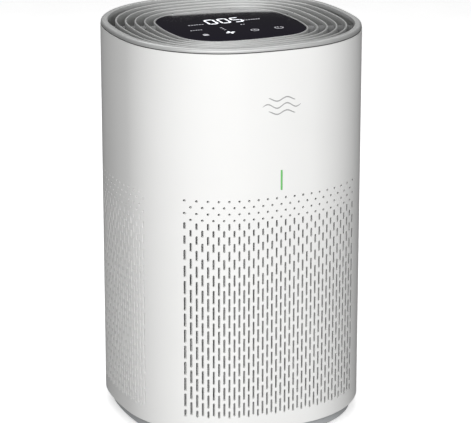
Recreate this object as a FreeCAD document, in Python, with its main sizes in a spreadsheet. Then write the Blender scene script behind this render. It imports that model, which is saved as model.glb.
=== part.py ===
"""Upright air purifier: a rounded-square tower that draws air in through its perforated lower walls,
through a cylindrical filter, up through a centrifugal fan and out of the louvred top.

Frame: millimetres, +Z up, origin on the floor under the middle of the tower, front towards -Y.
Every size is read from the sheet named dims, and each piece is bound to it by expressions.
"""

import FreeCAD, Part
import math
import os
import Sketcher

DIMS = {
    # Plan of the tower: four flat arcs joined by four corner arcs.
    "half_width": 125.0,
    "side_radius": 273.7,
    "corner_center": 19.25,
    # Levels of the outer shell and its wall.
    "shell_base": 14.0,
    "shell_height": 384.0,
    "shell_wall": 2.5,
    "rim_height": 4.0,
    "rim_width": 7.3,
    "rim_edge": 1.4,
    # Clearances: between fixed pieces, between moving bodies and in a bearing.
    "fit_gap": 0.3,
    "easy_gap": 0.5,
    "running_gap": 0.05,
    # Simplified air inlet slots, front and back alike and side to side alike.
    "slot_width": 5.0,
    "slot_tall": 40.0,
    "slot_step": 14.34,
    "slot_rise": 49.0,
    "slot_first": 24.0,
    "front_reach": 86.04,
    "side_reach": 57.36,
    # Base ring with its collar, feet and bayonet ledges.
    "base_inset": 7.0,
    "base_lift": 3.0,
    "base_wall": 2.5,
    "bay_radius": 99.0,
    "collar_top": 40.0,
    "foot_circle": 111.0,
    "foot_radius": 8.0,
    "foot_sink": 3.3,
    "foot_margin": 2.5,
    "ledge_depth": 3.7,
    "ledge_tall": 2.0,
    "ledge_angle": 16.0,
    "lug_tall": 2.7,
    "gland_radius": 5.0,
    "gland_bore": 3.6,
    "gland_length": 18.0,
    "gland_height": 8.5,
    # Cover under the filter, with its finger cup.
    "cover_plate": 3.0,
    "cover_rise": 7.9,
    "cup_gap": 11.0,
    "cup_depth": 14.7,
    "cup_wall": 2.0,
    "grip_half": 7.0,
    "grip_tall": 7.7,
    # Filter cartridge.
    "filter_height": 207.5,
    "cap_lip": 1.3,
    "cap_floor": 2.5,
    "cap_overlap": 7.0,
    "cap_top": 8.0,
    "mesh_thick": 1.0,
    "media_depth": 29.0,
    "carbon_thick": 5.0,
    "core_lip": 4.75,
    "gasket_thick": 3.7,
    "gasket_width": 10.0,
    "gasket_inset": 4.0,
    "ribbon_wide": 15.0,
    "ribbon_long": 60.0,
    "ribbon_thick": 0.8,
    # Fan deck, its screws and the inlet.
    "deck_thick": 3.0,
    "screw_circle": 113.0,
    "screw_angle": 18.5,
    "screw_radius": 1.5,
    "head_radius": 3.0,
    "head_tall": 2.0,
    "boss_radius": 4.5,
    "boss_tall": 20.0,
    "inlet_radius": 57.0,
    "throat_radius": 50.5,
    "throat_tall": 17.5,
    # Fan, motor and their housing.
    "housing_radius": 97.0,
    "housing_wall": 2.5,
    "housing_tall": 104.0,
    "flange_width": 8.5,
    "flange_thick": 2.5,
    "flange_screws": 104.0,
    "wheel_radius": 80.0,
    "wheel_tall": 43.5,
    "wheel_lift": 15.0,
    "wheel_plate": 2.5,
    "blade_inner": 55.0,
    "blade_sweep": 30.0,
    "blade_thick": 2.0,
    "blade_bend": 48.0,
    "shaft_radius": 4.0,
    "rotor_radius": 36.0,
    "rotor_tall": 29.5,
    "rotor_wall": 2.0,
    "magnet_thick": 1.8,
    "stator_tall": 20.0,
    "tube_radius": 12.5,
    "bearing_radius": 9.0,
    "bearing_tall": 6.0,
    "hub_radius": 46.0,
    "hub_wall": 2.0,
    "vane_thick": 2.0,
    "vane_tall": 18.0,
    # Outlet duct, louvres and display.
    "duct_inset": 9.0,
    "duct_wall": 2.0,
    "louvre_tall": 18.0,
    "louvre_thick": 1.8,
    "louvre_drop": 1.0,
    "louvre_start": 6.1,
    "rib_thick": 1.6,
    "rib_drop": 2.0,
    "screen_half": 70.1,
    "screen_side": 204.2,
    "screen_corner": 26.0,
    "lens_thick": 2.2,
    "lens_drop": 4.6,
    "tray_wall": 2.0,
    "tray_deep": 15.0,
    "board_thick": 1.6,
    "board_lift": 3.0,
    "board_margin": 2.0,
    "tray_screws": 57.0,
    "tray_boss": 3.5,
    "digits_wide": 40.0,
    "digits_deep": 22.0,
    "digits_back": 6.0,
    "spring_radius": 4.0,
    "spring_step": 26.4,
    "spring_first": 40.8,
    "spring_front": 32.6,
    # Status light on the front.
    "light_width": 2.0,
    "light_tall": 20.0,
    "light_center": 270.0,
}
SLOT_ROWS = 4
LOUVRES = 4
TOUCH_SPRINGS = 4
RIBS = 8
BLADES = 11
VANES = 9
COILS = 9
LUGS = 3
SCREWS = (1, 1), (-1, 1), (-1, -1), (1, -1)

doc = FreeCAD.newDocument("air_purifier")
sheet = doc.addObject("Spreadsheet::Sheet", "dims")
for row, (alias, number) in enumerate(DIMS.items(), start=1):
    sheet.set("A%d" % row, alias)
    sheet.set("B%d" % row, str(number))
    sheet.setAlias("B%d" % row, alias)
doc.recompute()


class Size:
    """A number together with the expression that binds it to the sheet."""

    def __init__(self, value, text=None):
        self.value = float(value)
        self.text = text or repr(self.value)

    def join(self, other, mark, value):
        return Size(value, "(%s %s %s)" % (self.text, mark, as_size(other).text))

    def __add__(self, other):
        return self.join(other, "+", self.value + as_size(other).value)

    def __sub__(self, other):
        return self.join(other, "-", self.value - as_size(other).value)

    def __mul__(self, other):
        return self.join(other, "*", self.value * as_size(other).value)

    def __truediv__(self, other):
        return self.join(other, "/", self.value / as_size(other).value)

    def __radd__(self, other):
        return as_size(other) + self

    def __rsub__(self, other):
        return as_size(other) - self

    def __rmul__(self, other):
        return as_size(other) * self

    def __neg__(self):
        return self * -1


def as_size(number):
    return number if isinstance(number, Size) else Size(number)


def call(name, number, value):
    return Size(value, "%s(%s)" % (name, number.text))


def root(number):
    return call("sqrt", number, math.sqrt(number.value))


def sine(degrees):
    degrees = as_size(degrees)
    return call("sin", degrees, math.sin(math.radians(degrees.value)))


def cosine(degrees):
    degrees = as_size(degrees)
    return call("cos", degrees, math.cos(math.radians(degrees.value)))


def polar(radius, degrees):
    return radius * cosine(degrees), radius * sine(degrees)


class Sheet:
    """Reads each driving dimension as a Size."""

    def __getattr__(self, alias):
        return Size(sheet.get(alias), "dims." + alias)


d = Sheet()


# ---------------------------------------------------------------- outlines

class Loop:
    """A closed run of corners, each followed by a straight side or an arc to the next corner.

    A corner is (x, y, radius): radius is None for a straight side, positive for an arc that bulges
    outwards on an anticlockwise run and negative for one that bulges inwards.
    """

    def __init__(self, corners):
        self.corners = [(as_size(x), as_size(y), radius) for x, y, radius in corners]


class Disc:
    def __init__(self, radius, x=0.0, y=0.0):
        self.radius, self.x, self.y = as_size(radius), as_size(x), as_size(y)


class Plan:
    """A rounded square of eight tangent arcs: half width, side radius and corner centre."""

    def __init__(self, half, side, corner):
        self.half, self.side, self.corner = half, side, corner

    def inset(self, distance):
        return Plan(self.half - distance, self.side - distance, self.corner)

    def towards(self, other, share):
        mix = lambda a, b: a + (b - a) * share
        return Plan(mix(self.half, other.half), mix(self.side, other.side), mix(self.corner, other.corner))

    def wall_at(self, y):
        """How far out a side stands at a distance y from its middle."""
        return root(self.side * self.side - as_size(y) * y) - (self.side - self.half)

    def reach(self, degrees):
        """How far out the outline lies at an angle of 0 to 45 degrees from a side's middle."""
        flat = self.side - self.half
        across, along = sine(degrees), cosine(degrees)
        lean = self.corner + flat
        if math.tan(math.radians(degrees)) * self.half.value < self.corner.value / lean.value * self.side.value:
            return root(self.side * self.side - flat * flat * across * across) - flat * along
        turn = self.side - root(self.corner * self.corner + lean * lean)
        slant = self.corner * (along - across)
        return self.corner * (along + across) + root(turn * turn - slant * slant)

    def loop(self):
        flat = self.side - self.half
        lean = self.corner + flat
        span = root(self.corner * self.corner + lean * lean)
        near = self.side * self.corner / span
        far = self.side * lean / span - flat
        turn = self.side - span
        spots = [(-near, -far), (near, -far), (far, -near), (far, near)]
        spots += [(near, far), (-near, far), (-far, near), (-far, -near)]
        return Loop([(x, y, turn if k % 2 else self.side) for k, (x, y) in enumerate(spots)])


def block(x0, x1, y0, y1):
    return Loop([(x0, y0, None), (x1, y0, None), (x1, y1, None), (x0, y1, None)])


def sector(inner, outer, middle, width):
    """Part of a ring, from its inner to its outer radius, width degrees wide."""
    first, last = middle - width / 2, middle + width / 2
    a, b = polar(outer, first), polar(outer, last)
    e, f = polar(inner, last), polar(inner, first)
    return Loop([(*a, outer), (*b, None), (*e, -inner), (*f, None)])


def bar_at(angle, start, end, width):
    """A straight bar that runs outwards from start to end at an angle."""
    along = lambda r, side: (
        r * cosine(angle) - side * width / 2 * sine(angle),
        r * sine(angle) + side * width / 2 * cosine(angle),
    )
    return Loop([(*along(start, -1), None), (*along(end, -1), None), (*along(end, 1), None), (*along(start, 1), None)])


def bind(thing, path, number):
    thing.setExpression(path, as_size(number).text)


def pin_point(sketch, index, spot, x, y):
    for kind, number in (("DistanceX", x), ("DistanceY", y)):
        place = sketch.addConstraint(Sketcher.Constraint(kind, index, spot, number.value))
        bind(sketch, "Constraints[%d]" % place, number)


def pin_radius(sketch, index, radius):
    place = sketch.addConstraint(Sketcher.Constraint("Radius", index, abs(radius.value)))
    bind(sketch, "Constraints[%d]" % place, radius if radius.value > 0 else -radius)


def draw_disc(sketch, disc):
    centre = FreeCAD.Vector(disc.x.value, disc.y.value, 0)
    index = sketch.addGeometry(Part.Circle(centre, FreeCAD.Vector(0, 0, 1), disc.radius.value))
    pin_point(sketch, index, 3, disc.x, disc.y)
    pin_radius(sketch, index, disc.radius)


def arc_between(start, end, radius):
    """The shorter arc from start to end: its centre is on the left for a positive radius."""
    chord = end - start
    middle = (start + end) * 0.5
    left = FreeCAD.Vector(-chord.y, chord.x, 0).normalize()
    rise = math.sqrt(max(radius ** 2 - chord.Length ** 2 / 4, 0.0))
    centre = middle + left * math.copysign(rise, radius)
    first, last = (start, end) if radius > 0 else (end, start)
    angles = [math.atan2(spot.y - centre.y, spot.x - centre.x) for spot in (first, last)]
    circle = Part.Circle(centre, FreeCAD.Vector(0, 0, 1), abs(radius))
    return Part.ArcOfCircle(circle, angles[0], angles[1])


def draw_loop(sketch, loop):
    spots = [FreeCAD.Vector(x.value, y.value, 0) for x, y, radius in loop.corners]
    ends = []
    for k, (x, y, radius) in enumerate(loop.corners):
        after = spots[(k + 1) % len(spots)]
        edge = Part.LineSegment(spots[k], after) if radius is None else arc_between(spots[k], after, radius.value)
        turned = radius is not None and radius.value < 0
        ends.append((sketch.addGeometry(edge), 2 if turned else 1, 1 if turned else 2))
    for k, (x, y, radius) in enumerate(loop.corners):
        index, begin, finish = ends[k]
        follower, start, _ = ends[(k + 1) % len(ends)]
        sketch.addConstraint(Sketcher.Constraint("Coincident", index, finish, follower, start))
        pin_point(sketch, index, begin, x, y)
        if radius is not None:
            pin_radius(sketch, index, radius)


# ---------------------------------------------------------------- solid features

NODES = []


def body(label):
    made = doc.addObject("PartDesign::Body", label)
    made.Label = label
    NODES.append(made)
    return made


def origin_part(owner, role):
    return next(part for part in owner.Origin.OriginFeatures if part.Role == role)


def sketch_on(owner, role, shapes, offset=0.0):
    sketch = owner.newObject("Sketcher::SketchObject", owner.Label + "_sketch")
    sketch.AttachmentSupport = [(origin_part(owner, role), "")]
    sketch.MapMode = "FlatFace"
    bind(sketch, "AttachmentOffset.Base.z", offset)
    for shape in shapes:
        shape = shape.loop() if isinstance(shape, Plan) else shape
        draw_disc(sketch, shape) if isinstance(shape, Disc) else draw_loop(sketch, shape)
    return sketch


def pad(owner, shapes, low, high):
    """Adds material between two levels."""
    made = owner.newObject("PartDesign::Pad", owner.Label + "_pad")
    made.Profile = sketch_on(owner, "XY_Plane", shapes, low)
    bind(made, "Length", high - low)
    return made


def pocket(owner, shapes, low, high):
    """Removes material between two levels."""
    made = owner.newObject("PartDesign::Pocket", owner.Label + "_pocket")
    made.Profile = sketch_on(owner, "XY_Plane", shapes, high)
    bind(made, "Length", high - low)
    return made


def around(owner, feature, count):
    """Repeats a feature about the upright axis."""
    made = owner.newObject("PartDesign::PolarPattern", owner.Label + "_round")
    made.Originals = [feature]
    made.Axis = (origin_part(owner, "Z_Axis"), [""])
    made.Angle = 360
    made.Occurrences = count
    owner.Tip = made
    return made


def turned(label, profile):
    """A round piece: its half section, as (radius, level) corners, turned about the upright axis."""
    owner = body(label)
    made = owner.newObject("PartDesign::Revolution", label + "_turned")
    sketch = sketch_on(owner, "XZ_Plane", [Loop([(r, z, None) for r, z in profile])])
    made.Profile = sketch
    made.ReferenceAxis = (sketch, ["V_Axis"])
    made.Angle = 360
    return owner


def ring(label, inner, outer, low, high):
    return turned(label, [(inner, low), (outer, low), (outer, high), (inner, high)])


def cylinder(label, radius, low, high, x=0.0, y=0.0):
    made = doc.addObject("Part::Cylinder", label)
    made.Label = label
    bind(made, "Radius", radius)
    bind(made, "Height", high - low)
    for axis, number in (("x", x), ("y", y), ("z", low)):
        bind(made, "Placement.Base." + axis, number)
    return made


def box(label, x0, x1, y0, y1, low, high):
    made = doc.addObject("Part::Box", label)
    made.Label = label
    for name, start, end in (("Length", x0, x1), ("Width", y0, y1), ("Height", low, high)):
        bind(made, name, as_size(end) - start)
    for axis, number in (("x", x0), ("y", y0), ("z", low)):
        bind(made, "Placement.Base." + axis, number)
    return made


def fuse(label, pieces):
    made = doc.addObject("Part::MultiFuse", label)
    made.Label = label
    made.Shapes = pieces
    return made


def group(label, pieces):
    made = doc.addObject("Part::Compound", label)
    made.Label = label
    made.Links = pieces
    NODES.append(made)
    return made


def node(thing):
    NODES.append(thing)
    return thing


def screws(label, spots, seat, length, heads_up):
    """Pan-head screws: the head lies against the seat level, and the shank goes through it."""
    made = []
    for k, (x, y) in enumerate(spots, start=1):
        name = "%s_%d" % (label, k)
        head = (seat, seat + d.head_tall) if heads_up else (seat - d.head_tall, seat)
        shank = (seat - length, seat) if heads_up else (seat, seat + length)
        parts = [
            cylinder(name + "_head", d.head_radius, *head, x, y),
            cylinder(name + "_shank", d.screw_radius, *shank, x, y),
        ]
        made.append(fuse(name, parts))
    return group(label, made)


# ---------------------------------------------------------------- shared levels and places

OUTER = Plan(d.half_width, d.side_radius, d.corner_center)
SCREEN = Plan(d.screen_half, d.screen_side, d.screen_corner)
INNER = OUTER.inset(d.shell_wall)
SHELL_TOP = d.shell_base + d.shell_height
RIM_TOP = SHELL_TOP + d.rim_height
COVER_BASE = d.base_lift + d.fit_gap
COVER_RADIUS = d.bay_radius - d.ledge_depth - d.fit_gap
LEDGE_TOP = d.base_lift + d.ledge_tall
LUG_RADIUS = d.bay_radius - d.easy_gap
CAP_RADIUS = COVER_RADIUS - d.easy_gap
FILTER_BASE = COVER_BASE + d.cover_rise + d.fit_gap
FILTER_TOP = FILTER_BASE + d.filter_height
MESH_RADIUS = CAP_RADIUS - d.cap_lip - d.fit_gap / 2
MEDIA_RADIUS = MESH_RADIUS - d.mesh_thick - d.fit_gap / 2
CARBON_RADIUS = MEDIA_RADIUS - d.media_depth - d.fit_gap / 2
CORE_RADIUS = CARBON_RADIUS - d.carbon_thick - d.core_lip
CUP_RADIUS = CORE_RADIUS - d.cup_gap - d.cup_wall
DECK_BASE = FILTER_TOP + d.gasket_thick + d.fit_gap
DECK_TOP = DECK_BASE + d.deck_thick
WHEEL_BASE = DECK_TOP + d.wheel_lift
WHEEL_TOP = WHEEL_BASE + d.wheel_tall
ROTOR_TOP = WHEEL_TOP + d.rotor_tall
STATOR_BASE = WHEEL_TOP + d.bearing_tall
HOUSING_TOP = DECK_TOP + d.housing_tall
MOUNT_TOP = HOUSING_TOP + d.flange_thick
HUB_TOP = ROTOR_TOP + d.bearing_tall
SHAFT_HOLE = d.shaft_radius + d.running_gap
SCREW_HOLE = d.screw_radius + d.running_gap
LOUVRE_TOP = RIM_TOP - d.louvre_drop
LOUVRE_BASE = LOUVRE_TOP - d.louvre_tall
LENS_TOP = RIM_TOP - d.lens_drop
LENS_BASE = LENS_TOP - d.lens_thick
TRAY_BASE = LENS_BASE - d.tray_deep

CORNER_SPOTS = [(x * d.screw_circle * cosine(d.screw_angle), y * d.screw_circle * sine(d.screw_angle)) for x, y in SCREWS]
FLANGE_SPOTS = [polar(d.flange_screws, 60.0 + 90.0 * k) for k in range(4)]
FOOT_SPOTS = {
    "foot_front_left": (-1, -1),
    "foot_front_right": (1, -1),
    "foot_rear_left": (-1, 1),
    "foot_rear_right": (1, 1),
}


# ---------------------------------------------------------------- outer casing

def slots(shell, role, axis, reach):
    """Rows of upright slots through two opposite walls, as one slot repeated along and up."""
    low = d.shell_base + d.slot_first
    first = block(-reach - d.slot_width / 2, -reach + d.slot_width / 2, low, low + d.slot_tall)
    cut = shell.newObject("PartDesign::Pocket", shell.Label + "_slot")
    cut.Profile = sketch_on(shell, role, [first])
    cut.Type = "ThroughAll"
    cut.Midplane = True
    rows = shell.newObject("PartDesign::MultiTransform", shell.Label + "_slots")
    rows.Originals = [cut]
    columns = 1 + round(2 * reach.value / d.slot_step.value)
    steps = []
    for direction, length, count in ((axis, reach * 2, columns), ("Z_Axis", d.slot_rise * (SLOT_ROWS - 1), SLOT_ROWS)):
        step = shell.newObject("PartDesign::LinearPattern", shell.Label + "_step")
        step.Direction = (origin_part(shell, direction), [""])
        bind(step, "Length", length)
        step.Occurrences = count
        steps.append(step)
    rows.Transformations = steps
    rows.Refine = False
    shell.Tip = rows


def outer_shell():
    """The white wall, with its inlet slots, the light's window and eight screw bosses inside."""
    shell = body("outer_shell")
    pad(shell, [OUTER, INNER], d.shell_base, SHELL_TOP)
    half = d.shell_wall / 2
    webs = []
    for (x, y), (sx, _) in zip(CORNER_SPOTS, SCREWS):
        wall = OUTER.inset(half).wall_at(y) * sx
        webs.append(block(x, wall, y - half, y + half) if sx > 0 else block(wall, x, y - half, y + half))
    holes = [Disc(SCREW_HOLE, x, y) for x, y in CORNER_SPOTS]
    for low, high in ((d.shell_base, d.shell_base + d.boss_tall), (DECK_BASE - d.boss_tall, DECK_BASE)):
        pad(shell, webs, low, high)
        pad(shell, [Disc(d.boss_radius, x, y) for x, y in CORNER_SPOTS], low, high)
        pocket(shell, holes, low, high)
    half = d.light_width / 2 + d.running_gap
    rise = d.light_tall / 2 + d.running_gap
    window = block(-half, half, -d.half_width - 1, -d.half_width + d.shell_wall + 1)
    pocket(shell, [window], d.light_center - rise, d.light_center + rise)
    slots(shell, "XZ_Plane", "X_Axis", d.front_reach)
    slots(shell, "YZ_Plane", "Y_Axis", d.side_reach)


def top_rim():
    """The silver band that covers the shell's upper edge, with a rounded outer edge."""
    rim = body("top_rim")
    band = pad(rim, [OUTER, OUTER.inset(d.rim_width)], SHELL_TOP, RIM_TOP)
    doc.recompute()
    reach = OUTER.half.value - 1
    upper = [
        "Edge%d" % k
        for k, edge in enumerate(band.Shape.Edges, start=1)
        if edge.BoundBox.ZMin > RIM_TOP.value - 0.01 and edge.CenterOfMass.Length ** 2 - RIM_TOP.value ** 2 > reach ** 2
    ]
    rounding = rim.newObject("PartDesign::Fillet", "top_rim_edge")
    rounding.Base = (band, upper)
    bind(rounding, "Radius", d.rim_edge)


# ---------------------------------------------------------------- base and bottom cover

def base_ring():
    """The grey foot frame: skirt, deck, filter collar, foot bosses, gland boss and bayonet ledges."""
    base = body("base_ring")
    skirt = OUTER.inset(d.base_inset)
    bay = Disc(d.bay_radius)
    pad(base, [skirt, skirt.inset(d.base_wall)], d.base_lift, d.shell_base)
    pad(base, [Disc(d.bay_radius + d.base_wall), bay], d.base_lift, d.collar_top)
    pad(base, [skirt, bay], d.shell_base - d.base_wall, d.shell_base)
    feet = [polar(d.foot_circle, 45.0 + 90.0 * k) for k in range(4)]
    bosses = [Disc(d.foot_radius + d.foot_margin, *spot) for spot in feet]
    for boss in bosses:
        pad(base, [boss], d.base_lift, d.shell_base)
    sockets = [Disc(d.foot_radius + d.fit_gap, *spot) for spot in feet]
    pocket(base, sockets, d.base_lift, d.base_lift + d.foot_sink)
    back = skirt.half - d.base_wall / 2
    half = d.gland_radius + d.base_wall
    pad(base, [block(-half, half, d.bay_radius + d.base_wall / 2, back)], d.base_lift, d.shell_base)
    bore = base.newObject("PartDesign::Pocket", "base_ring_gland_bore")
    bore.Profile = sketch_on(
        base, "XZ_Plane", [Disc(d.gland_radius + d.running_gap, 0.0, d.gland_height)], -(d.bay_radius + d.base_wall)
    )
    bind(bore, "Length", d.gland_length * 2)
    pocket(base, [Disc(SCREW_HOLE, x, y) for x, y in CORNER_SPOTS], d.shell_base - d.base_wall, d.shell_base)
    ledge = sector(d.bay_radius - d.ledge_depth, d.bay_radius + d.base_wall / 2, 90.0, d.ledge_angle)
    around(base, pad(base, [ledge], d.base_lift, LEDGE_TOP), LUGS)


def feet():
    for name, (sx, sy) in FOOT_SPOTS.items():
        offset = d.foot_circle * cosine(45.0)
        high = d.base_lift + d.foot_sink
        tip = cylinder(name + "_tip", d.foot_radius, 0.0, high, offset * sx, offset * sy)
        edge = doc.addObject("Part::Chamfer", name)
        edge.Label = name
        doc.recompute()
        edge.Base = tip
        rims = [k for k, e in enumerate(tip.Shape.Edges, start=1) if e.BoundBox.ZMax < 0.1 and e.Closed]
        edge.Edges = [(k, 0.8, 0.8) for k in rims]
        NODES.append(edge)


def cord_gland():
    """A bushing in the rear of the base that the mains lead passes through."""
    outer = cylinder("cord_gland_outer", d.gland_radius, 0.0, d.gland_length)
    inner = cylinder("cord_gland_inner", d.gland_bore, 0.0, d.gland_length)
    gland = doc.addObject("Part::Cut", "cord_gland")
    gland.Base, gland.Tool = outer, inner
    gland.Placement = FreeCAD.Placement(FreeCAD.Vector(0, 0, 0), FreeCAD.Rotation(FreeCAD.Vector(1, 0, 0), -90))
    bind(gland, "Placement.Base.y", d.bay_radius + d.base_wall + d.running_gap)
    bind(gland, "Placement.Base.z", d.gland_height)
    node(gland)


def bottom_cover():
    """The round door under the filter: bayonet lugs at its rim and a finger cup with a grip bar."""
    cover = body("bottom_cover")
    plate_top = COVER_BASE + d.cover_plate
    cup = CUP_RADIUS + d.cup_wall
    rim = Disc(COVER_RADIUS - d.base_wall)
    roof = COVER_BASE + d.cup_depth
    pad(cover, [Disc(COVER_RADIUS), Disc(CUP_RADIUS)], COVER_BASE, plate_top)
    pad(cover, [Disc(COVER_RADIUS), rim], COVER_BASE, COVER_BASE + d.cover_rise)
    pad(cover, [Disc(cup), Disc(CUP_RADIUS)], COVER_BASE, roof)
    pad(cover, [Disc(cup)], roof, roof + d.cup_wall)
    bar = block(-d.grip_half, d.grip_half, -CUP_RADIUS - 1, CUP_RADIUS + 1)
    pad(cover, [bar], COVER_BASE, COVER_BASE + d.grip_tall)
    lug_base = LEDGE_TOP + d.fit_gap
    lug = sector(COVER_RADIUS - 1, LUG_RADIUS, 90.0, d.ledge_angle)
    around(cover, pad(cover, [lug], lug_base, lug_base + d.lug_tall), LUGS)


# ---------------------------------------------------------------- filter cartridge

def filter_cartridge():
    floor = FILTER_BASE + d.cap_floor
    plate = COVER_BASE + d.cup_depth + d.cup_wall + d.easy_gap * 3
    well = CUP_RADIUS + d.cup_wall + d.base_wall
    lip = CAP_RADIUS - d.cap_lip
    turned("filter_bottom_cap", [
        (0.0, plate), (well, plate), (well, FILTER_BASE), (CAP_RADIUS, FILTER_BASE),
        (CAP_RADIUS, floor + d.cap_overlap), (lip, floor + d.cap_overlap), (lip, floor),
        (well + d.cap_lip, floor), (well + d.cap_lip, plate + d.cap_floor), (0.0, plate + d.cap_floor),
    ])
    media_top = FILTER_TOP - d.cap_top
    turned("filter_top_cap", [
        (CORE_RADIUS, media_top), (lip, media_top), (lip, media_top - d.cap_overlap),
        (CAP_RADIUS, media_top - d.cap_overlap), (CAP_RADIUS, FILTER_TOP), (CORE_RADIUS, FILTER_TOP),
    ])
    ring("prefilter_mesh", MESH_RADIUS - d.mesh_thick, MESH_RADIUS, floor, media_top)
    ring("pleated_media", MEDIA_RADIUS - d.media_depth, MEDIA_RADIUS, floor, media_top)
    ring("carbon_layer", CARBON_RADIUS - d.carbon_thick, CARBON_RADIUS, floor, media_top)
    inner = CORE_RADIUS + d.gasket_inset
    ring("filter_gasket", inner, inner + d.gasket_width, FILTER_TOP, FILTER_TOP + d.gasket_thick)
    half, reach = d.ribbon_wide / 2, d.ribbon_long / 2
    node(box("pull_tab", -half, half, -reach, reach, plate - d.ribbon_thick, plate))


# ---------------------------------------------------------------- fan deck and inlet

def fan_deck():
    """The floor above the filter: it carries the fan housing and closes off the suction side."""
    deck = body("fan_deck")
    pad(deck, [INNER.inset(d.fit_gap), Disc(d.inlet_radius)], DECK_BASE, DECK_TOP)
    holes = [Disc(SCREW_HOLE, x, y) for x, y in CORNER_SPOTS + FLANGE_SPOTS]
    pocket(deck, holes, DECK_BASE, DECK_TOP)
    seat = d.inlet_radius + d.flange_width
    throat = d.throat_radius
    turned("inlet_bellmouth", [
        (d.inlet_radius, DECK_TOP), (seat, DECK_TOP), (seat, DECK_TOP + d.cup_wall),
        (d.inlet_radius + 1, DECK_TOP + d.cup_wall), (throat + d.cup_wall, DECK_TOP + 8),
        (throat + d.cup_wall, DECK_TOP + d.throat_tall), (throat, DECK_TOP + d.throat_tall),
        (throat, DECK_TOP + 7),
    ])


def inlet_guard():
    """A finger guard of rings and spokes in the deck's opening."""
    guard = body("inlet_guard")
    outer = d.inlet_radius - d.fit_gap
    for k in range(3):
        radius = outer - k * 18
        pad(guard, [Disc(radius), Disc(radius - 1.8)], DECK_BASE, DECK_TOP)
    pad(guard, [Disc(6.0)], DECK_BASE, DECK_TOP)
    around(guard, pad(guard, [bar_at(0.0, 4.0, outer - 1, 1.8)], DECK_BASE, DECK_TOP), 6)


def interlock_switch():
    """A microswitch under the deck, pressed by the edge of the filter's top cap."""
    front = CAP_RADIUS + 3
    case = box("interlock_case", -10.0, 10.0, front, front + 10, DECK_BASE - 12, DECK_BASE)
    lever = box("interlock_lever", -3.0, 3.0, CAP_RADIUS + d.fit_gap, front + 1, DECK_BASE - 9, DECK_BASE - 7.5)
    node(fuse("interlock_switch", [case, lever]))


# ---------------------------------------------------------------- fan and motor

def fan_housing():
    inner, outer = d.housing_radius, d.housing_radius + d.housing_wall
    housing = body("fan_housing")
    flange = Disc(outer + d.flange_width)
    pad(housing, [Disc(outer), Disc(inner)], DECK_TOP, HOUSING_TOP)
    for low, high in ((DECK_TOP, DECK_TOP + d.flange_thick), (HOUSING_TOP - d.flange_thick, HOUSING_TOP)):
        pad(housing, [flange, Disc(inner)], low, high)
        pocket(housing, [Disc(SCREW_HOLE, x, y) for x, y in FLANGE_SPOTS], low, high)


def impeller():
    """A backward-curved centrifugal wheel: open eye below, solid plate and hub above."""
    wheel = body("impeller")
    eye = d.throat_radius + d.cup_wall + 3 * d.easy_gap
    shroud_top = WHEEL_BASE + d.wheel_plate
    plate_base = WHEEL_TOP - d.wheel_plate
    pad(wheel, [Disc(d.wheel_radius), Disc(eye)], WHEEL_BASE, shroud_top)
    pad(wheel, [Disc(d.wheel_radius), Disc(d.shaft_radius)], plate_base, WHEEL_TOP)
    pad(wheel, [Disc(10.0), Disc(d.shaft_radius)], plate_base - 16, WHEEL_TOP)
    tip = d.wheel_radius - 1
    lean = d.blade_thick / d.blade_inner * 57.3
    a, b = polar(d.blade_inner, 0.0), polar(tip, -d.blade_sweep)
    e, f = polar(tip, -d.blade_sweep + lean), polar(d.blade_inner, lean)
    blade = Loop([(*a, -d.blade_bend), (*b, None), (*e, d.blade_bend), (*f, None)])
    around(wheel, pad(wheel, [blade], WHEEL_BASE + 1, WHEEL_TOP - 1), BLADES)
    nut_top = plate_base - 16
    nut = body("impeller_nut")
    corners = [(*polar(Size(8.0), 60.0 * k), None) for k in range(6)]
    pad(nut, [Loop(corners), Disc(d.shaft_radius)], nut_top - 6, nut_top)
    shaft_base = nut_top - 9
    turned("motor_shaft", [(0.0, shaft_base), (d.shaft_radius, shaft_base), (d.shaft_radius, HUB_TOP + 4), (0.0, HUB_TOP + 4)])


def rotor():
    """The cup that carries the magnets round the outside of the stator."""
    floor = WHEEL_TOP + d.rotor_wall
    wall = d.rotor_radius - d.rotor_wall
    turned("rotor_can", [
        (d.shaft_radius, WHEEL_TOP), (d.rotor_radius, WHEEL_TOP), (d.rotor_radius, ROTOR_TOP),
        (wall, ROTOR_TOP), (wall, floor), (d.shaft_radius, floor),
    ])
    ring("rotor_magnets", wall - d.magnet_thick, wall, STATOR_BASE - 1, STATOR_BASE + d.stator_tall + 1)


def stator():
    core = body("stator_core")
    edge = d.rotor_radius - d.rotor_wall - d.magnet_thick - d.easy_gap
    top = STATOR_BASE + d.stator_tall
    pad(core, [Disc(edge), Disc(d.tube_radius)], STATOR_BASE, top)
    space = bar_at(0.0, d.tube_radius + 4, edge - 3, 9.0)
    around(core, pocket(core, [space], STATOR_BASE, top), COILS)
    coils = []
    for k in range(COILS):
        coil = doc.addObject("Part::Box", "stator_coil_%d" % (k + 1))
        bind(coil, "Length", edge - 3 - d.tube_radius - 5)
        bind(coil, "Width", 8.0)
        bind(coil, "Height", d.stator_tall + 2)
        angle = 360.0 * k / COILS
        coil.Placement.Rotation = FreeCAD.Rotation(FreeCAD.Vector(0, 0, 1), angle)
        start = d.tube_radius + 4.5
        bind(coil, "Placement.Base.x", start * cosine(angle) + 4 * sine(angle))
        bind(coil, "Placement.Base.y", start * sine(angle) - 4 * cosine(angle))
        bind(coil, "Placement.Base.z", STATOR_BASE - 1)
        coils.append(coil)
    group("stator_coils", coils)
    for name, low in (("bearing_lower", STATOR_BASE), ("bearing_upper", HUB_TOP - d.bearing_tall - 2)):
        ring(name, SHAFT_HOLE, d.bearing_radius, low, low + d.bearing_tall)
    clip_base = HUB_TOP - 2 + d.fit_gap
    ring("shaft_clip", d.shaft_radius, d.shaft_radius + 3, clip_base, clip_base + 1)


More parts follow.
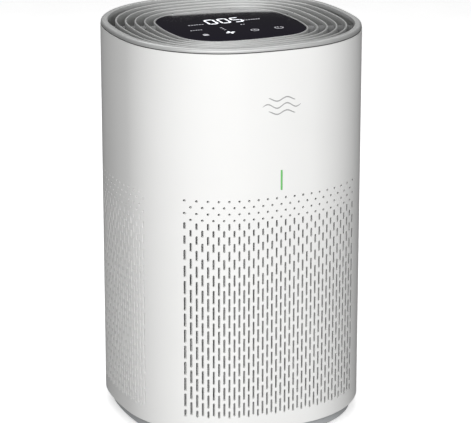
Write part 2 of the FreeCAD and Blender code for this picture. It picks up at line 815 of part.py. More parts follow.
def motor_mount():
    """Hub plate, bearing tube and the ring of straightening vanes that holds them in the housing."""
    mount = body("motor_mount")
    outer = d.housing_radius - d.fit_gap
    flange = d.housing_radius + d.housing_wall + d.flange_width
    inner = outer - d.housing_wall
    plate_base = HUB_TOP - d.housing_wall
    vane_base = HUB_TOP - d.vane_tall
    pad(mount, [Disc(d.tube_radius), Disc(d.bearing_radius)], STATOR_BASE - 1, HUB_TOP)
    pad(mount, [Disc(d.hub_radius), Disc(d.bearing_radius)], plate_base, HUB_TOP)
    pad(mount, [Disc(d.hub_radius), Disc(d.hub_radius - d.hub_wall)], vane_base - 2, HUB_TOP)
    pad(mount, [Disc(outer), Disc(inner)], vane_base - 2, MOUNT_TOP)
    vane = bar_at(0.0, d.hub_radius - d.hub_wall / 2, inner + d.housing_wall / 2, d.vane_thick)
    around(mount, pad(mount, [vane], vane_base, HUB_TOP), VANES)
    pad(mount, [Disc(flange), Disc(inner)], HOUSING_TOP, MOUNT_TOP)
    pocket(mount, [Disc(SCREW_HOLE, x, y) for x, y in FLANGE_SPOTS], HOUSING_TOP, MOUNT_TOP)
    ring("motor_board", 14.0, d.hub_radius - 4, HUB_TOP, HUB_TOP + d.board_thick)
    inside = d.hub_radius - d.hub_wall
    turned("motor_cap", [
        (inside, HUB_TOP), (d.hub_radius, HUB_TOP), (d.hub_radius, HUB_TOP + 8), (d.hub_radius - 8, HUB_TOP + 15),
        (0.0, HUB_TOP + 15), (0.0, HUB_TOP + 13), (inside - 7, HUB_TOP + 13), (inside, HUB_TOP + 7),
    ])


# ---------------------------------------------------------------- outlet and display

def outlet_duct():
    duct = body("outlet_duct")
    outside = OUTER.inset(d.duct_inset)
    inside = outside.inset(d.duct_wall)
    pad(duct, [outside, Disc(d.housing_radius)], MOUNT_TOP, MOUNT_TOP + d.flange_thick)
    pad(duct, [outside, inside], MOUNT_TOP, LOUVRE_BASE)
    pocket(duct, [Disc(SCREW_HOLE, x, y) for x, y in FLANGE_SPOTS], MOUNT_TOP, MOUNT_TOP + d.flange_thick)


def outlet_grille():
    """Louvre rings that pass from the rim's plan to the display's and dip towards it, tied by ribs to a hidden hoop."""
    grille = body("outlet_grille")
    first = OUTER.inset(d.louvre_start)
    half = d.louvre_thick / 2
    for k in range(1, LOUVRES + 2):
        share = Size(k) / (LOUVRES + 1)
        line = first.towards(SCREEN, share)
        top = LOUVRE_TOP + (LENS_TOP - LOUVRE_TOP) * share
        pad(grille, [line.inset(-half), line.inset(half)], LOUVRE_BASE, top)
    hoop = INNER.inset(d.easy_gap)
    pad(grille, [hoop, hoop.inset(d.shell_wall)], LOUVRE_BASE, SHELL_TOP)
    edge = SCREEN.inset(half)
    pad(grille, [edge.inset(-half), edge.inset(5.0)], TRAY_BASE - d.tray_wall, TRAY_BASE)
    pad(grille, [edge.inset(-d.louvre_thick / 2), edge], TRAY_BASE - d.tray_wall, LOUVRE_BASE + 1)
    step = 360.0 / RIBS
    near, far = SCREEN.reach(step / 2), hoop.inset(d.shell_wall / 2).reach(step / 2)
    ribs = [bar_at(step / 2 + step * k, near, far, d.rib_thick) for k in range(RIBS)]
    pad(grille, ribs, LOUVRE_BASE, SHELL_TOP - d.rib_drop)


def display():
    glass = SCREEN.inset(d.louvre_thick / 2 + d.fit_gap)
    lens = body("display_lens")
    pad(lens, [glass], LENS_BASE, LENS_TOP)
    tray = body("display_tray")
    outside = glass.inset(d.fit_gap)
    pad(tray, [outside, outside.inset(d.tray_wall)], TRAY_BASE, LENS_BASE)
    pad(tray, [outside], TRAY_BASE, TRAY_BASE + d.tray_wall)
    spots = [polar(d.tray_screws, 90.0 * k) for k in range(4)]
    board_base = TRAY_BASE + d.tray_wall + d.board_lift
    for spot in spots:
        pad(tray, [Disc(d.tray_boss, *spot)], TRAY_BASE, board_base)
    pocket(tray, [Disc(SCREW_HOLE, *spot) for spot in spots], TRAY_BASE, board_base)
    board = body("display_board")
    board_top = board_base + d.board_thick
    pad(board, [outside.inset(d.tray_wall + d.board_margin)], board_base, board_top)
    pocket(board, [Disc(SCREW_HOLE, *spot) for spot in spots], board_base, board_top)
    screws("tray_screws", spots, board_top, 5.0, True)
    parts_top = LENS_BASE - d.fit_gap
    half, back = d.digits_wide / 2, d.digits_back + d.digits_deep
    node(box("digit_module", -half, half, d.digits_back, back, board_top, parts_top))
    pads = []
    for k in range(TOUCH_SPRINGS):
        across = d.spring_step * k - d.spring_first
        label = "touch_spring_%d" % (k + 1)
        pads.append(cylinder(label, d.spring_radius, board_top, parts_top, across, -d.spring_front))
    group("touch_springs", pads)


def status_light():
    """A slim green light guide through the front wall, and the small board that lights it."""
    back = -d.half_width + d.shell_wall + d.fit_gap
    half, rise = d.light_width / 2, d.light_tall / 2
    guide = box("light_guide", -half, half, -d.half_width, back, d.light_center - rise, d.light_center + rise)
    foot = box("light_foot", -4.0, 4.0, back, back + 1.5, d.light_center - rise - 3, d.light_center + rise + 3)
    node(fuse("light_pipe", [guide, foot]))
    board = back + 1.5
    node(box("status_led_board", -8.0, 8.0, board, board + d.board_thick, d.light_center - 16, d.light_center + 16))


# ---------------------------------------------------------------- electronics on the deck

def on_diagonal(thing, angle, radial, offset):
    """Turns a piece to face outwards along a diagonal and stands it at a radial distance."""
    thing.Placement.Rotation = FreeCAD.Rotation(FreeCAD.Vector(0, 0, 1), angle)
    bind(thing, "Placement.Base.x", radial * cosine(angle) - offset * sine(angle))
    bind(thing, "Placement.Base.y", radial * sine(angle) + offset * cosine(angle))


def corner_box(label, angle, radial, depth, middle, width, low, high):
    made = doc.addObject("Part::Box", label)
    made.Label = label
    bind(made, "Length", depth)
    bind(made, "Width", width)
    bind(made, "Height", high - low)
    bind(made, "Placement.Base.z", low)
    on_diagonal(made, angle, as_size(radial), as_size(middle) - as_size(width) / 2)
    return made


def electronics():
    near = d.housing_radius + d.housing_wall + d.flange_width + 1
    board = corner_box("power_card", 45.0, near, d.board_thick, 0.0, 56.0, DECK_TOP, DECK_TOP + 80)
    face = near + d.board_thick - 0.1
    parts = [
        corner_box("power_transformer", 45.0, face, 12.0, -10.0, 24.0, DECK_TOP + 10, DECK_TOP + 38),
        corner_box("power_terminals", 45.0, face, 9.0, 14.0, 18.0, DECK_TOP + 6, DECK_TOP + 16),
        corner_box("power_heat_sink", 45.0, face, 10.0, 10.0, 20.0, DECK_TOP + 46, DECK_TOP + 70),
        corner_box("power_capacitor", 45.0, face, 10.0, -14.0, 11.0, DECK_TOP + 46, DECK_TOP + 62),
    ]
    node(fuse("power_board", [board] + parts))
    case = corner_box("sensor_case", 135.0, near, 15.0, 0.0, 38.0, DECK_TOP, DECK_TOP + 40)
    vent = corner_box("sensor_vent", 135.0, near + 12, 6.0, 8.0, 10.0, DECK_TOP + 14, DECK_TOP + 26)
    sensor = doc.addObject("Part::Cut", "air_sensor")
    sensor.Base, sensor.Tool = case, vent
    node(sensor)


def fasteners():
    screws("base_screws", CORNER_SPOTS, d.shell_base - d.base_wall, d.base_wall + 14, False)
    screws("deck_screws", CORNER_SPOTS, DECK_TOP, d.deck_thick + 12, True)
    screws("housing_screws", FLANGE_SPOTS, DECK_TOP + d.flange_thick, d.flange_thick + d.deck_thick, True)
    stack = d.flange_thick * 3
    screws("duct_screws", FLANGE_SPOTS, MOUNT_TOP + d.flange_thick, stack, True)


def build():
    for make in (
        outer_shell, top_rim, base_ring, feet, cord_gland, bottom_cover, filter_cartridge, fan_deck,
        inlet_guard, interlock_switch, fan_housing, impeller, rotor, stator, motor_mount, outlet_duct,
        outlet_grille, display, status_light, electronics, fasteners,
    ):
        make()
    doc.recompute()


def export():
    """Writes each piece, after checking that nothing in the document failed."""
    failed = [o.Label for o in doc.Objects if {"Invalid", "Error"} & set(o.State)]
    failed += [n.Label for n in NODES if n.Shape.isNull() or not n.Shape.isValid() or not n.Shape.Solids]
    if failed:
        raise RuntimeError("failed pieces: " + ", ".join(failed))
    os.makedirs("parts", exist_ok=True)
    for piece in NODES:
        piece.Shape.exportStep(os.path.join("parts", piece.Label + ".step"))
        size = piece.Shape.BoundBox
        print("%-18s solids %d  volume %10.0f  z %.2f to %.2f" % (
            piece.Label, len(piece.Shape.Solids), piece.Shape.Volume, size.ZMin, size.ZMax))


build()
export()
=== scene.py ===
"""Looks of an upright air purifier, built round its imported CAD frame.

The tower is a rounded square in plan.  Each sub-assembly is a class that holds its sizes in millimetres,
builds its meshes and dresses them; each finish is a frozen dataclass that makes one procedural material.
"""

import logging
import math
from dataclasses import dataclass, field
from enum import Enum
from itertools import product
from typing import Any, Callable, ClassVar, Iterable, Optional, Sequence

import bmesh
import bpy
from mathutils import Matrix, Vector


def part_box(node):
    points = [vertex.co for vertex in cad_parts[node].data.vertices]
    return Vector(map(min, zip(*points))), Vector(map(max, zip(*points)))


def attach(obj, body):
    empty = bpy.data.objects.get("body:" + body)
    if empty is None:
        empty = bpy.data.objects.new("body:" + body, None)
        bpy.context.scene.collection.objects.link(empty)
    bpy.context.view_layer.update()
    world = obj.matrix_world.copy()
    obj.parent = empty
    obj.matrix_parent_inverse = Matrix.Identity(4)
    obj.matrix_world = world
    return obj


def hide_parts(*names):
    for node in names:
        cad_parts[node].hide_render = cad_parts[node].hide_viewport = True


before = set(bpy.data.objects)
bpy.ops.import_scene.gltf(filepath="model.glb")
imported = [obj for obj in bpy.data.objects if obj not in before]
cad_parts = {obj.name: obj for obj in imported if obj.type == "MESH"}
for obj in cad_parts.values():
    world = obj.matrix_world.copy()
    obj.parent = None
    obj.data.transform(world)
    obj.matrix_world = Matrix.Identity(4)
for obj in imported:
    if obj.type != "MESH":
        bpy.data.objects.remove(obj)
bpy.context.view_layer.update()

LOG = logging.getLogger("air_purifier")
MM = 0.001

Point = tuple[float, float]
Place = tuple[float, float, float]
Profile = Sequence[Point]


def lowest(node: str, axis: int) -> float:
    """The lowest coordinate of a CAD node along an axis, in millimetres."""
    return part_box(node)[0][axis] / MM


def highest(node: str, axis: int) -> float:
    """The highest coordinate of a CAD node along an axis, in millimetres."""
    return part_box(node)[1][axis] / MM


# ------------------------------------------------------------------ plan outlines

@dataclass(frozen=True)
class Plan:
    """A rounded square of eight tangent arcs.

    Args:
        half: half width across the sides.
        side: radius of the gently curved sides.
        corner: how far each corner arc's centre stands from both middle lines.
    """

    half: float
    side: float
    corner: float

    @property
    def flat(self) -> float:
        """Distance from the middle to the centre of the opposite side's arc."""
        return self.side - self.half

    @property
    def turn(self) -> float:
        """Radius of the corner arcs."""
        return self.side - math.hypot(self.corner, self.corner + self.flat)

    @property
    def lean(self) -> float:
        """Half the angle that a side arc takes up."""
        return math.atan2(self.corner, self.corner + self.flat)

    def inset(self, distance: float) -> "Plan":
        """The parallel outline that lies this far inside."""
        return Plan(self.half - distance, self.side - distance, self.corner)

    def towards(self, other: "Plan", share: float) -> "Plan":
        """An outline part of the way to another one."""
        return Plan(*(
            here + (there - here) * share
            for here, there in ((self.half, other.half), (self.side, other.side), (self.corner, other.corner))
        ))

    def points(self, side_steps: int, corner_steps: int) -> list[Point]:
        """Points round the outline, anticlockwise, with steps on each side and corner arc."""
        spots: list[Point] = []
        for quarter in range(4):
            swing = quarter * math.pi / 2
            for step in range(side_steps):
                angle = -self.lean + 2 * self.lean * step / side_steps
                spot = (self.side * math.sin(angle), self.flat - self.side * math.cos(angle))
                spots.append(turned(spot, swing))
            for step in range(corner_steps):
                angle = self.lean + (math.pi / 2 - 2 * self.lean) * step / corner_steps
                spot = (self.corner + self.turn * math.sin(angle), -self.corner - self.turn * math.cos(angle))
                spots.append(turned(spot, swing))
        return spots

    def normal(self, x: float, y: float) -> Point:
        """The outward direction of the outline nearest a point."""
        across, along = abs(x) - self.corner, abs(y) - self.corner
        angle = math.atan2(across, along)
        if angle < self.lean:
            across, along = abs(x), abs(y) + self.flat
        elif angle > math.pi / 2 - self.lean:
            across, along = abs(x) + self.flat, abs(y)
        length = math.hypot(across, along)
        return math.copysign(across / length, x), math.copysign(along / length, y)

    def reach(self, angle: float) -> float:
        """How far out the outline lies at an angle, found by halving."""
        near, far = 0.0, self.half * 2
        for _ in range(40):
            middle = (near + far) / 2
            inside = self.holds(middle * math.cos(angle), middle * math.sin(angle))
            near, far = (middle, far) if inside else (near, middle)
        return near

    def holds(self, x: float, y: float) -> bool:
        """Whether a point lies inside the outline."""
        across, along = max(abs(x), abs(y)), min(abs(x), abs(y))
        if math.atan2(along - self.corner, across - self.corner) < self.lean:
            return math.hypot(across + self.flat, along) < self.side
        return math.hypot(across - self.corner, along - self.corner) < self.turn


def turned(spot: Point, angle: float) -> Point:
    """A plan point swung about the middle."""
    x, y = spot
    return x * math.cos(angle) - y * math.sin(angle), x * math.sin(angle) + y * math.cos(angle)


def circle_points(radius: float, steps: int) -> list[Point]:
    """Points round a circle about the middle."""
    return [turned((radius, 0.0), 2 * math.pi * k / steps) for k in range(steps)]


TOWER = Plan(125.0, 273.7, 19.25)
SCREEN = Plan(70.1, 204.2, 26.0)


def quarter(steps: int) -> list[float]:
    """Angles of a quarter turn, in radians."""
    return [math.pi / 2 * k / steps for k in range(steps + 1)]


def eased(edge: float, high: float, steps: int) -> list[Point]:
    """Profile corners of a rounded outer upper edge, from the wall to the top."""
    return [(edge * (1 - math.cos(a)), high - edge * (1 - math.sin(a))) for a in quarter(steps)]


# ------------------------------------------------------------------ meshes

def finished(name: str, shape: bmesh.types.BMesh, sharp: float = 35.0) -> bpy.types.Object:
    """Turns a shape in millimetres into a named object in metres, smooth except at sharp edges.

    Args:
        name: the piece's name.
        shape: the shape, which is freed.
        sharp: the angle in degrees past which an edge stays sharp.

    Returns:
        The new object, linked to the scene.
    """
    bmesh.ops.recalc_face_normals(shape, faces=shape.faces)
    bmesh.ops.scale(shape, vec=(MM, MM, MM), verts=shape.verts)
    mesh = bpy.data.meshes.new(name)
    shape.to_mesh(mesh)
    shape.free()
    mesh.shade_smooth()
    mesh.set_sharp_from_angle(angle=math.radians(sharp))
    made = bpy.data.objects.new(name, mesh)
    bpy.context.scene.collection.objects.link(made)
    return made


def bridge(
    shape: bmesh.types.BMesh, rows: Sequence[Sequence[bmesh.types.BMVert]], closed: bool = False, caps: bool = False,
) -> None:
    """Joins rows of vertices, each a closed run, with quads from one row to the next.

    Args:
        shape: the mesh to add to.
        rows: the rows of vertices.
        closed: whether the last row joins the first.
        caps: whether the first and last rows are filled.
    """
    pairs = list(zip(rows, rows[1:])) + ([(rows[-1], rows[0])] if closed else [])
    for low, high in pairs:
        count = len(low)
        for k in range(count):
            after = (k + 1) % count
            shape.faces.new((low[k], low[after], high[after], high[k]))
    if caps:
        shape.faces.new(rows[0])
        shape.faces.new(rows[-1])


def swept(
    shape: bmesh.types.BMesh, profile: Profile, outline: Callable[[float], Iterable[Point]],
    closed: bool = True, caps: bool = False,
) -> None:
    """Carries a profile of (inset, level) corners round an outline.

    Args:
        shape: the mesh to add to.
        profile: corners as (inset, level).
        outline: gives the points of the outline at an inset.
        closed: whether the profile's last corner joins its first.
        caps: whether the first and last rows are filled.
    """
    rows = [[shape.verts.new((x, y, level)) for x, y in outline(inset)] for inset, level in profile]
    bridge(shape, rows, closed, caps)


def along_plan(plan: Plan, side_steps: int = 8, corner_steps: int = 26) -> Callable[[float], list[Point]]:
    """An outline function for a rounded square."""
    return lambda inset: plan.inset(inset).points(side_steps, corner_steps)


def prism(shape: bmesh.types.BMesh, outline: Sequence[Point], low: float, high: float) -> None:
    """Adds an upright prism on an outline."""
    swept(shape, [(0.0, low), (0.0, high)], lambda _: outline, closed=False, caps=True)


def bar(shape: bmesh.types.BMesh, near: float, far: float, width: float, levels: Profile) -> None:
    """Adds a bar along X whose half width changes with level.

    Args:
        shape: the mesh to add to.
        near: where it starts.
        far: where it ends.
        width: its full width.
        levels: (share of the width, level) from the bottom up.
    """
    rows = []
    for share, level in levels:
        half = width / 2 * share
        corners = [(near, -half), (far, -half), (far, half), (near, half)]
        rows.append([shape.verts.new((*corner, level)) for corner in corners])
    bridge(shape, rows, caps=True)


# ------------------------------------------------------------------ node trees

class Wiring:
    """Adds nodes to one tree and links them."""

    def __init__(self, tree: bpy.types.NodeTree) -> None:
        """Keeps the tree."""
        self.tree = tree

    def add(self, kind: str, inputs: Optional[dict] = None, **settings: Any) -> bpy.types.Node:
        """Adds one node.

        Args:
            kind: the node's type.
            inputs: values or sockets by input name or number.
            settings: properties to set before the inputs.

        Returns:
            The node.
        """
        node = self.tree.nodes.new(kind)
        for name, value in settings.items():
            setattr(node, name, value)
        for key, value in (inputs or {}).items():
            if isinstance(value, bpy.types.NodeSocket):
                self.tree.links.new(value, node.inputs[key])
            else:
                node.inputs[key].default_value = value
        return node

    def math(self, operation: str, *values: Any) -> bpy.types.NodeSocket:
        """The result of a Math node on up to three values or sockets."""
        return self.add("ShaderNodeMath", dict(enumerate(values)), operation=operation).outputs[0]

    def vector(self, x: Any = 0.0, y: Any = 0.0, z: Any = 0.0) -> bpy.types.NodeSocket:
        """A vector from three values or sockets."""
        return self.add("ShaderNodeCombineXYZ", {0: x, 1: y, 2: z}).outputs[0]


class GroupWiring(Wiring):
    """The wiring of a node group, with its named inputs and outputs."""

    def __init__(self, tree: bpy.types.NodeTree) -> None:
        """Adds the group's two ends."""
        super().__init__(tree)
        self.start = tree.nodes.new("NodeGroupInput").outputs
        self.end = tree.nodes.new("NodeGroupOutput").inputs

    def give(self, results: dict[str, bpy.types.NodeSocket]) -> bpy.types.NodeTree:
        """Links results to the outputs of their names, and returns the tree."""
        for label, socket in results.items():
            self.tree.links.new(socket, self.end[label])
        return self.tree

    def give_dressed(self, label: str, geometry: bpy.types.NodeSocket) -> bpy.types.NodeTree:
        """Ends the tree with real meshes in the group's own finish, and returns it."""
        solid = self.add("GeometryNodeRealizeInstances", {"Geometry": geometry})
        coloured = self.add("GeometryNodeSetMaterial", {"Geometry": solid.outputs[0], "Material": self.start["Finish"]})
        return self.give({label: coloured.outputs[0]})


def new_group(name: str, kind: str, takes: dict[str, tuple[str, Any]], gives: Iterable[str], given: str) -> GroupWiring:
    """Makes a node group with named inputs and outputs.

    Args:
        name: the group's name.
        kind: the tree's type.
        takes: input name to (socket type, default).
        gives: output names.
        given: the outputs' socket type.

    Returns:
        The group's wiring.
    """
    tree = bpy.data.node_groups.new(name, kind)
    for label, (socket, default) in takes.items():
        made = tree.interface.new_socket(label, in_out="INPUT", socket_type=socket)
        if default is not None:
            made.default_value = default
    for label in gives:
        tree.interface.new_socket(label, in_out="OUTPUT", socket_type=given)
    return GroupWiring(tree)


def effect_group(name: str, scales: dict[str, float]) -> GroupWiring:
    """A shader group that takes a place and named scales, and gives a height, a tone and a speckle."""
    takes = {"Vector": ("NodeSocketVector", None)}
    takes.update({label: ("NodeSocketFloat", value) for label, value in scales.items()})
    return new_group(name, "ShaderNodeTree", takes, ("Height", "Tone", "Speckle"), "NodeSocketFloat")


class Effects:
    """Shader effects that several finishes share, each built once as a group of masks and heights."""

    _made: dict[str, bpy.types.NodeTree] = {}

    @classmethod
    def get(cls, name: str) -> bpy.types.NodeTree:
        """The named effect's tree, built on first use."""
        if name not in cls._made:
            cls._made[name] = getattr(cls, "_" + name)()
        return cls._made[name]

    @staticmethod
    def _moulded_grain() -> bpy.types.NodeTree:
        """Fine spark-eroded grain and slow tone drift of a moulded part."""
        group = effect_group("moulded_grain", {"Grain Scale": 2500.0, "Drift Scale": 12.0})
        where = group.start["Vector"]
        fine = group.add("ShaderNodeTexNoise", {"Vector": where, "Scale": group.start["Grain Scale"], "Detail": 3.0})
        slow = group.add("ShaderNodeTexNoise", {"Vector": where, "Scale": group.start["Drift Scale"], "Detail": 2.0})
        pits = group.add("ShaderNodeTexVoronoi", {"Vector": where, "Scale": group.start["Grain Scale"]})
        height = group.math("MULTIPLY_ADD", pits.outputs["Distance"], 0.5, fine.outputs["Fac"])
        return group.give({"Height": height, "Tone": slow.outputs["Fac"], "Speckle": fine.outputs["Fac"]})

    @staticmethod
    def _paint_flake() -> bpy.types.NodeTree:
        """Glitter of fine metal flakes in silver paint, with the faint flow lines of the part below."""
        group = effect_group("paint_flake", {"Flake Scale": 1800.0})
        where = group.start["Vector"]
        flakes = group.add("ShaderNodeTexVoronoi", {"Vector": where, "Scale": group.start["Flake Scale"]})
        flow = group.add("ShaderNodeTexNoise", {"Vector": where, "Scale": 30.0, "Detail": 4.0})
        shade = group.add("ShaderNodeSeparateColor", {0: flakes.outputs["Color"]})
        return group.give({
            "Height": flakes.outputs["Distance"], "Tone": flow.outputs["Fac"], "Speckle": shade.outputs[0],
        })

    @staticmethod
    def _fibre() -> bpy.types.NodeTree:
        """Matted fibres of a filter medium or felt."""
        group = effect_group("fibre", {"Fibre Scale": 700.0})
        where = group.start["Vector"]
        stretch = group.add("ShaderNodeMapping", {"Vector": where, "Scale": (1.0, 1.0, 0.22)})
        mat = group.add(
            "ShaderNodeTexNoise",
            {"Vector": stretch.outputs[0], "Scale": group.start["Fibre Scale"], "Detail": 5.0, "Distortion": 1.5},
        )
        clumps = group.add("ShaderNodeTexNoise", {"Vector": where, "Scale": 60.0, "Detail": 3.0})
        return group.give({"Height": mat.outputs["Fac"], "Tone": clumps.outputs["Fac"], "Speckle": mat.outputs["Fac"]})


class Effect(Enum):
    """The shared surface effects, by group name."""

    GRAIN = "moulded_grain"
    FLAKE = "paint_flake"
    FIBRE = "fibre"


@dataclass(frozen=True)
class Finish:
    """One surface finish.

    Args:
        name: the material's name.
        colour: linear base colour.
        roughness: middle roughness.
        effect: which shared effect textures it.
        depth: bump distance in millimetres.
        drift: how far the tone wanders, as a share of the colour.
        swing: how far the roughness wanders.
        metallic: metallic value.
        coat: clear coat weight.
        coat_roughness: clear coat roughness.
        glow: emission strength.
        scale: the effect's fine scale, or none for its own.
    """

    name: str
    colour: tuple[float, float, float]
    roughness: float
    effect: Effect = Effect.GRAIN
    depth: float = 0.02
    drift: float = 0.05
    swing: float = 0.08
    metallic: float = 0.0
    coat: float = 0.0
    coat_roughness: float = 0.1
    glow: float = 0.0
    scale: Optional[float] = None

    def build(self) -> bpy.types.Material:
        """The material, made on first use."""
        ready = bpy.data.materials.get(self.name)
        if ready is not None:
            return ready
        made = bpy.data.materials.new(self.name)
        made.use_nodes = True
        made.node_tree.nodes.clear()
        wiring = Wiring(made.node_tree)
        where = wiring.add("ShaderNodeTexCoord").outputs["Object"]
        effect = wiring.add("ShaderNodeGroup", node_tree=Effects.get(self.effect.value))
        made.node_tree.links.new(where, effect.inputs["Vector"])
        if self.scale is not None:
            effect.inputs[1].default_value = self.scale
        shader = wiring.add("ShaderNodeBsdfPrincipled", {
            "Metallic": self.metallic, "Coat Weight": self.coat, "Coat Roughness": self.coat_roughness,
        })
        self._colour(wiring, effect, shader)
        rough = wiring.add("ShaderNodeMapRange", {
            "Value": effect.outputs["Speckle"],
            "To Min": max(self.roughness - self.swing, 0.02), "To Max": min(self.roughness + self.swing, 1.0),
        })
        made.node_tree.links.new(rough.outputs[0], shader.inputs["Roughness"])
        bump = wiring.add("ShaderNodeBump", {
            "Height": effect.outputs["Height"], "Strength": 0.5, "Distance": self.depth * MM,
        })
        made.node_tree.links.new(bump.outputs[0], shader.inputs["Normal"])
        output = wiring.add("ShaderNodeOutputMaterial")
        made.node_tree.links.new(shader.outputs[0], output.inputs["Surface"])
        return made

    def _colour(self, wiring: Wiring, effect: bpy.types.Node, shader: bpy.types.Node) -> None:
        """Wires the base colour between a darker and a lighter tone, and any glow."""
        tone = wiring.add("ShaderNodeMapRange", {
            "Value": effect.outputs["Tone"], "From Min": 0.3, "From Max": 0.7,
        })
        mix = wiring.add("ShaderNodeMix", {"Factor": tone.outputs[0]}, data_type="RGBA")
        mix.inputs["A"].default_value = (*[c * (1 - self.drift) for c in self.colour], 1.0)
        mix.inputs["B"].default_value = (*[min(c * (1 + self.drift), 1.0) for c in self.colour], 1.0)
        blended = mix.outputs["Result"]
        wiring.tree.links.new(blended, shader.inputs["Base Color"])
        if self.glow > 0:
            wiring.tree.links.new(blended, shader.inputs["Emission Color"])
            shader.inputs["Emission Strength"].default_value = self.glow


SHELL_WHITE = Finish("satin_white_shell", (0.80, 0.80, 0.79), 0.34, depth=0.012, drift=0.012, swing=0.05)
SILVER = Finish("silver_paint", (0.50, 0.505, 0.50), 0.42, Effect.FLAKE, depth=0.002, drift=0.03, swing=0.05,
                metallic=0.40, scale=9000.0)
# A darker copy of the silver: painted shade on the louvre ring walls and the ribs.
SHADED_SILVER = Finish("painted_shade_silver", (0.16, 0.162, 0.162), 0.50, Effect.FLAKE, depth=0.003, drift=0.06,
                       metallic=0.30, scale=9000.0)
SCREEN_GLASS = Finish("tinted_screen", (0.010, 0.008, 0.016), 0.10, depth=0.002, drift=0.10, swing=0.03, coat=0.6,
                      coat_roughness=0.04)
BASE_GREY = Finish("grey_base", (0.32, 0.32, 0.32), 0.52, depth=0.03, drift=0.05)
FOOT_RUBBER = Finish("foot_rubber", (0.022, 0.022, 0.022), 0.78, depth=0.05, drift=0.15)
DUCT_GREY = Finish("duct_plastic", (0.050, 0.051, 0.054), 0.55, depth=0.03, drift=0.10)
BLACK_PLASTIC = Finish("black_plastic", (0.018, 0.018, 0.019), 0.48, depth=0.02, drift=0.12)
MEDIA = Finish("pleated_paper", (0.84, 0.85, 0.84), 0.88, Effect.FIBRE, depth=0.12, drift=0.06)
NET = Finish("filter_net", (0.80, 0.81, 0.81), 0.60, Effect.FIBRE, depth=0.04, drift=0.08)
CARBON = Finish("carbon_pellets", (0.020, 0.020, 0.021), 0.70, depth=0.30, drift=0.30, scale=900.0)
FOAM = Finish("gasket_foam", (0.045, 0.045, 0.047), 0.90, depth=0.15, drift=0.12, scale=1400.0)
RIBBON = Finish("pull_ribbon", (0.62, 0.62, 0.60), 0.80, Effect.FIBRE, depth=0.08, drift=0.05)
ZINC = Finish("zinc_steel", (0.55, 0.56, 0.57), 0.32, Effect.FLAKE, depth=0.01, drift=0.06, metallic=1.0)
LAMINATION = Finish("stator_steel", (0.20, 0.21, 0.23), 0.45, Effect.FLAKE, depth=0.02, drift=0.10, metallic=0.8)
COPPER = Finish("coil_wire", (0.56, 0.24, 0.10), 0.34, Effect.FLAKE, depth=0.03, drift=0.12, metallic=0.9)
BOARD = Finish("circuit_board", (0.012, 0.090, 0.035), 0.40, depth=0.02, drift=0.18, coat=0.3)
LIGHT_GREEN = Finish("status_green", (0.14, 0.46, 0.13), 0.35, depth=0.004, drift=0.04, glow=0.12)
MARK_BRIGHT = Finish("lit_reading", (0.86, 0.88, 0.92), 0.40, depth=0.002, drift=0.03, glow=1.0)
MARK_DIM = Finish("lit_marks", (0.60, 0.60, 0.64), 0.40, depth=0.002, drift=0.05, glow=0.30)
PRINT_GREY = Finish("printed_mark", (0.33, 0.33, 0.33), 0.42, depth=0.004, drift=0.05)
FLOOR_PALE = Finish("pale_floor", (0.90, 0.90, 0.90), 0.85, depth=0.01, drift=0.01, swing=0.03, glow=0.55)

SLOT_FINISHES: dict[str, Finish] = {
    "white_shell": SHELL_WHITE, "silver": SILVER, "dark_lens": SCREEN_GLASS, "grey_base": BASE_GREY,
    "rubber_foot": FOOT_RUBBER, "dark_plastic": DUCT_GREY, "black_plastic": BLACK_PLASTIC,
    "filter_media": MEDIA, "carbon": CARBON, "mesh_grey": NET, "foam": FOAM, "ribbon": RIBBON,
    "steel": ZINC, "core_steel": LAMINATION, "copper": COPPER, "board_green": BOARD,
    "light_green": LIGHT_GREEN, "spring_steel": ZINC,
}


def dress(piece: bpy.types.Object, finish: Finish) -> bpy.types.Object:
    """Gives a piece one finish all over."""
    piece.data.materials.clear()
    piece.data.materials.append(finish.build())
    return piece


def place(piece: bpy.types.Object, body: str, slot: str, replaced: Sequence[str] = ()) -> bpy.types.Object:
    """Puts a finished piece on its body.

    Args:
        piece: the piece, in place.
        body: the CAD body it moves with.
        slot: the record's material slot, not used.
        replaced: CAD nodes it stands for.

    Returns:
        The piece.
    """
    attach(piece, body)
    if replaced:
        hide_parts(*replaced)
    LOG.info("%s rides on %s", piece.name, body)
    return piece


def grown(
    name: str, tree: bpy.types.NodeTree, values: dict[str, Any], start: Optional[bpy.types.Mesh] = None,
) -> bpy.types.Object:
    """Runs a geometry tree and keeps its result as a plain mesh.

    Args:
        name: the piece's name.
        tree: the tree, with named inputs.
        values: the inputs' values by name.
        start: the mesh that the tree starts from, if any.

    Returns:
        The new object, with no modifier left on it.
    """
    carrier = bpy.data.objects.new(name, start or bpy.data.meshes.new(name))
    bpy.context.scene.collection.objects.link(carrier)
    modifier = carrier.modifiers.new("growth", "NODES")
    modifier.node_group = tree
    for item in tree.interface.items_tree:
        if item.item_type == "SOCKET" and item.in_out == "INPUT" and item.name in values:
            modifier[item.identifier] = values[item.name]
    bpy.context.view_layer.update()
    graph = bpy.context.evaluated_depsgraph_get()
    mesh = bpy.data.meshes.new_from_object(
        carrier.evaluated_get(graph), preserve_all_data_layers=True, depsgraph=graph
    )
    carrier.modifiers.remove(modifier)
    carrier.data = mesh
    mesh.name = name
    return carrier


# ------------------------------------------------------------------ casing

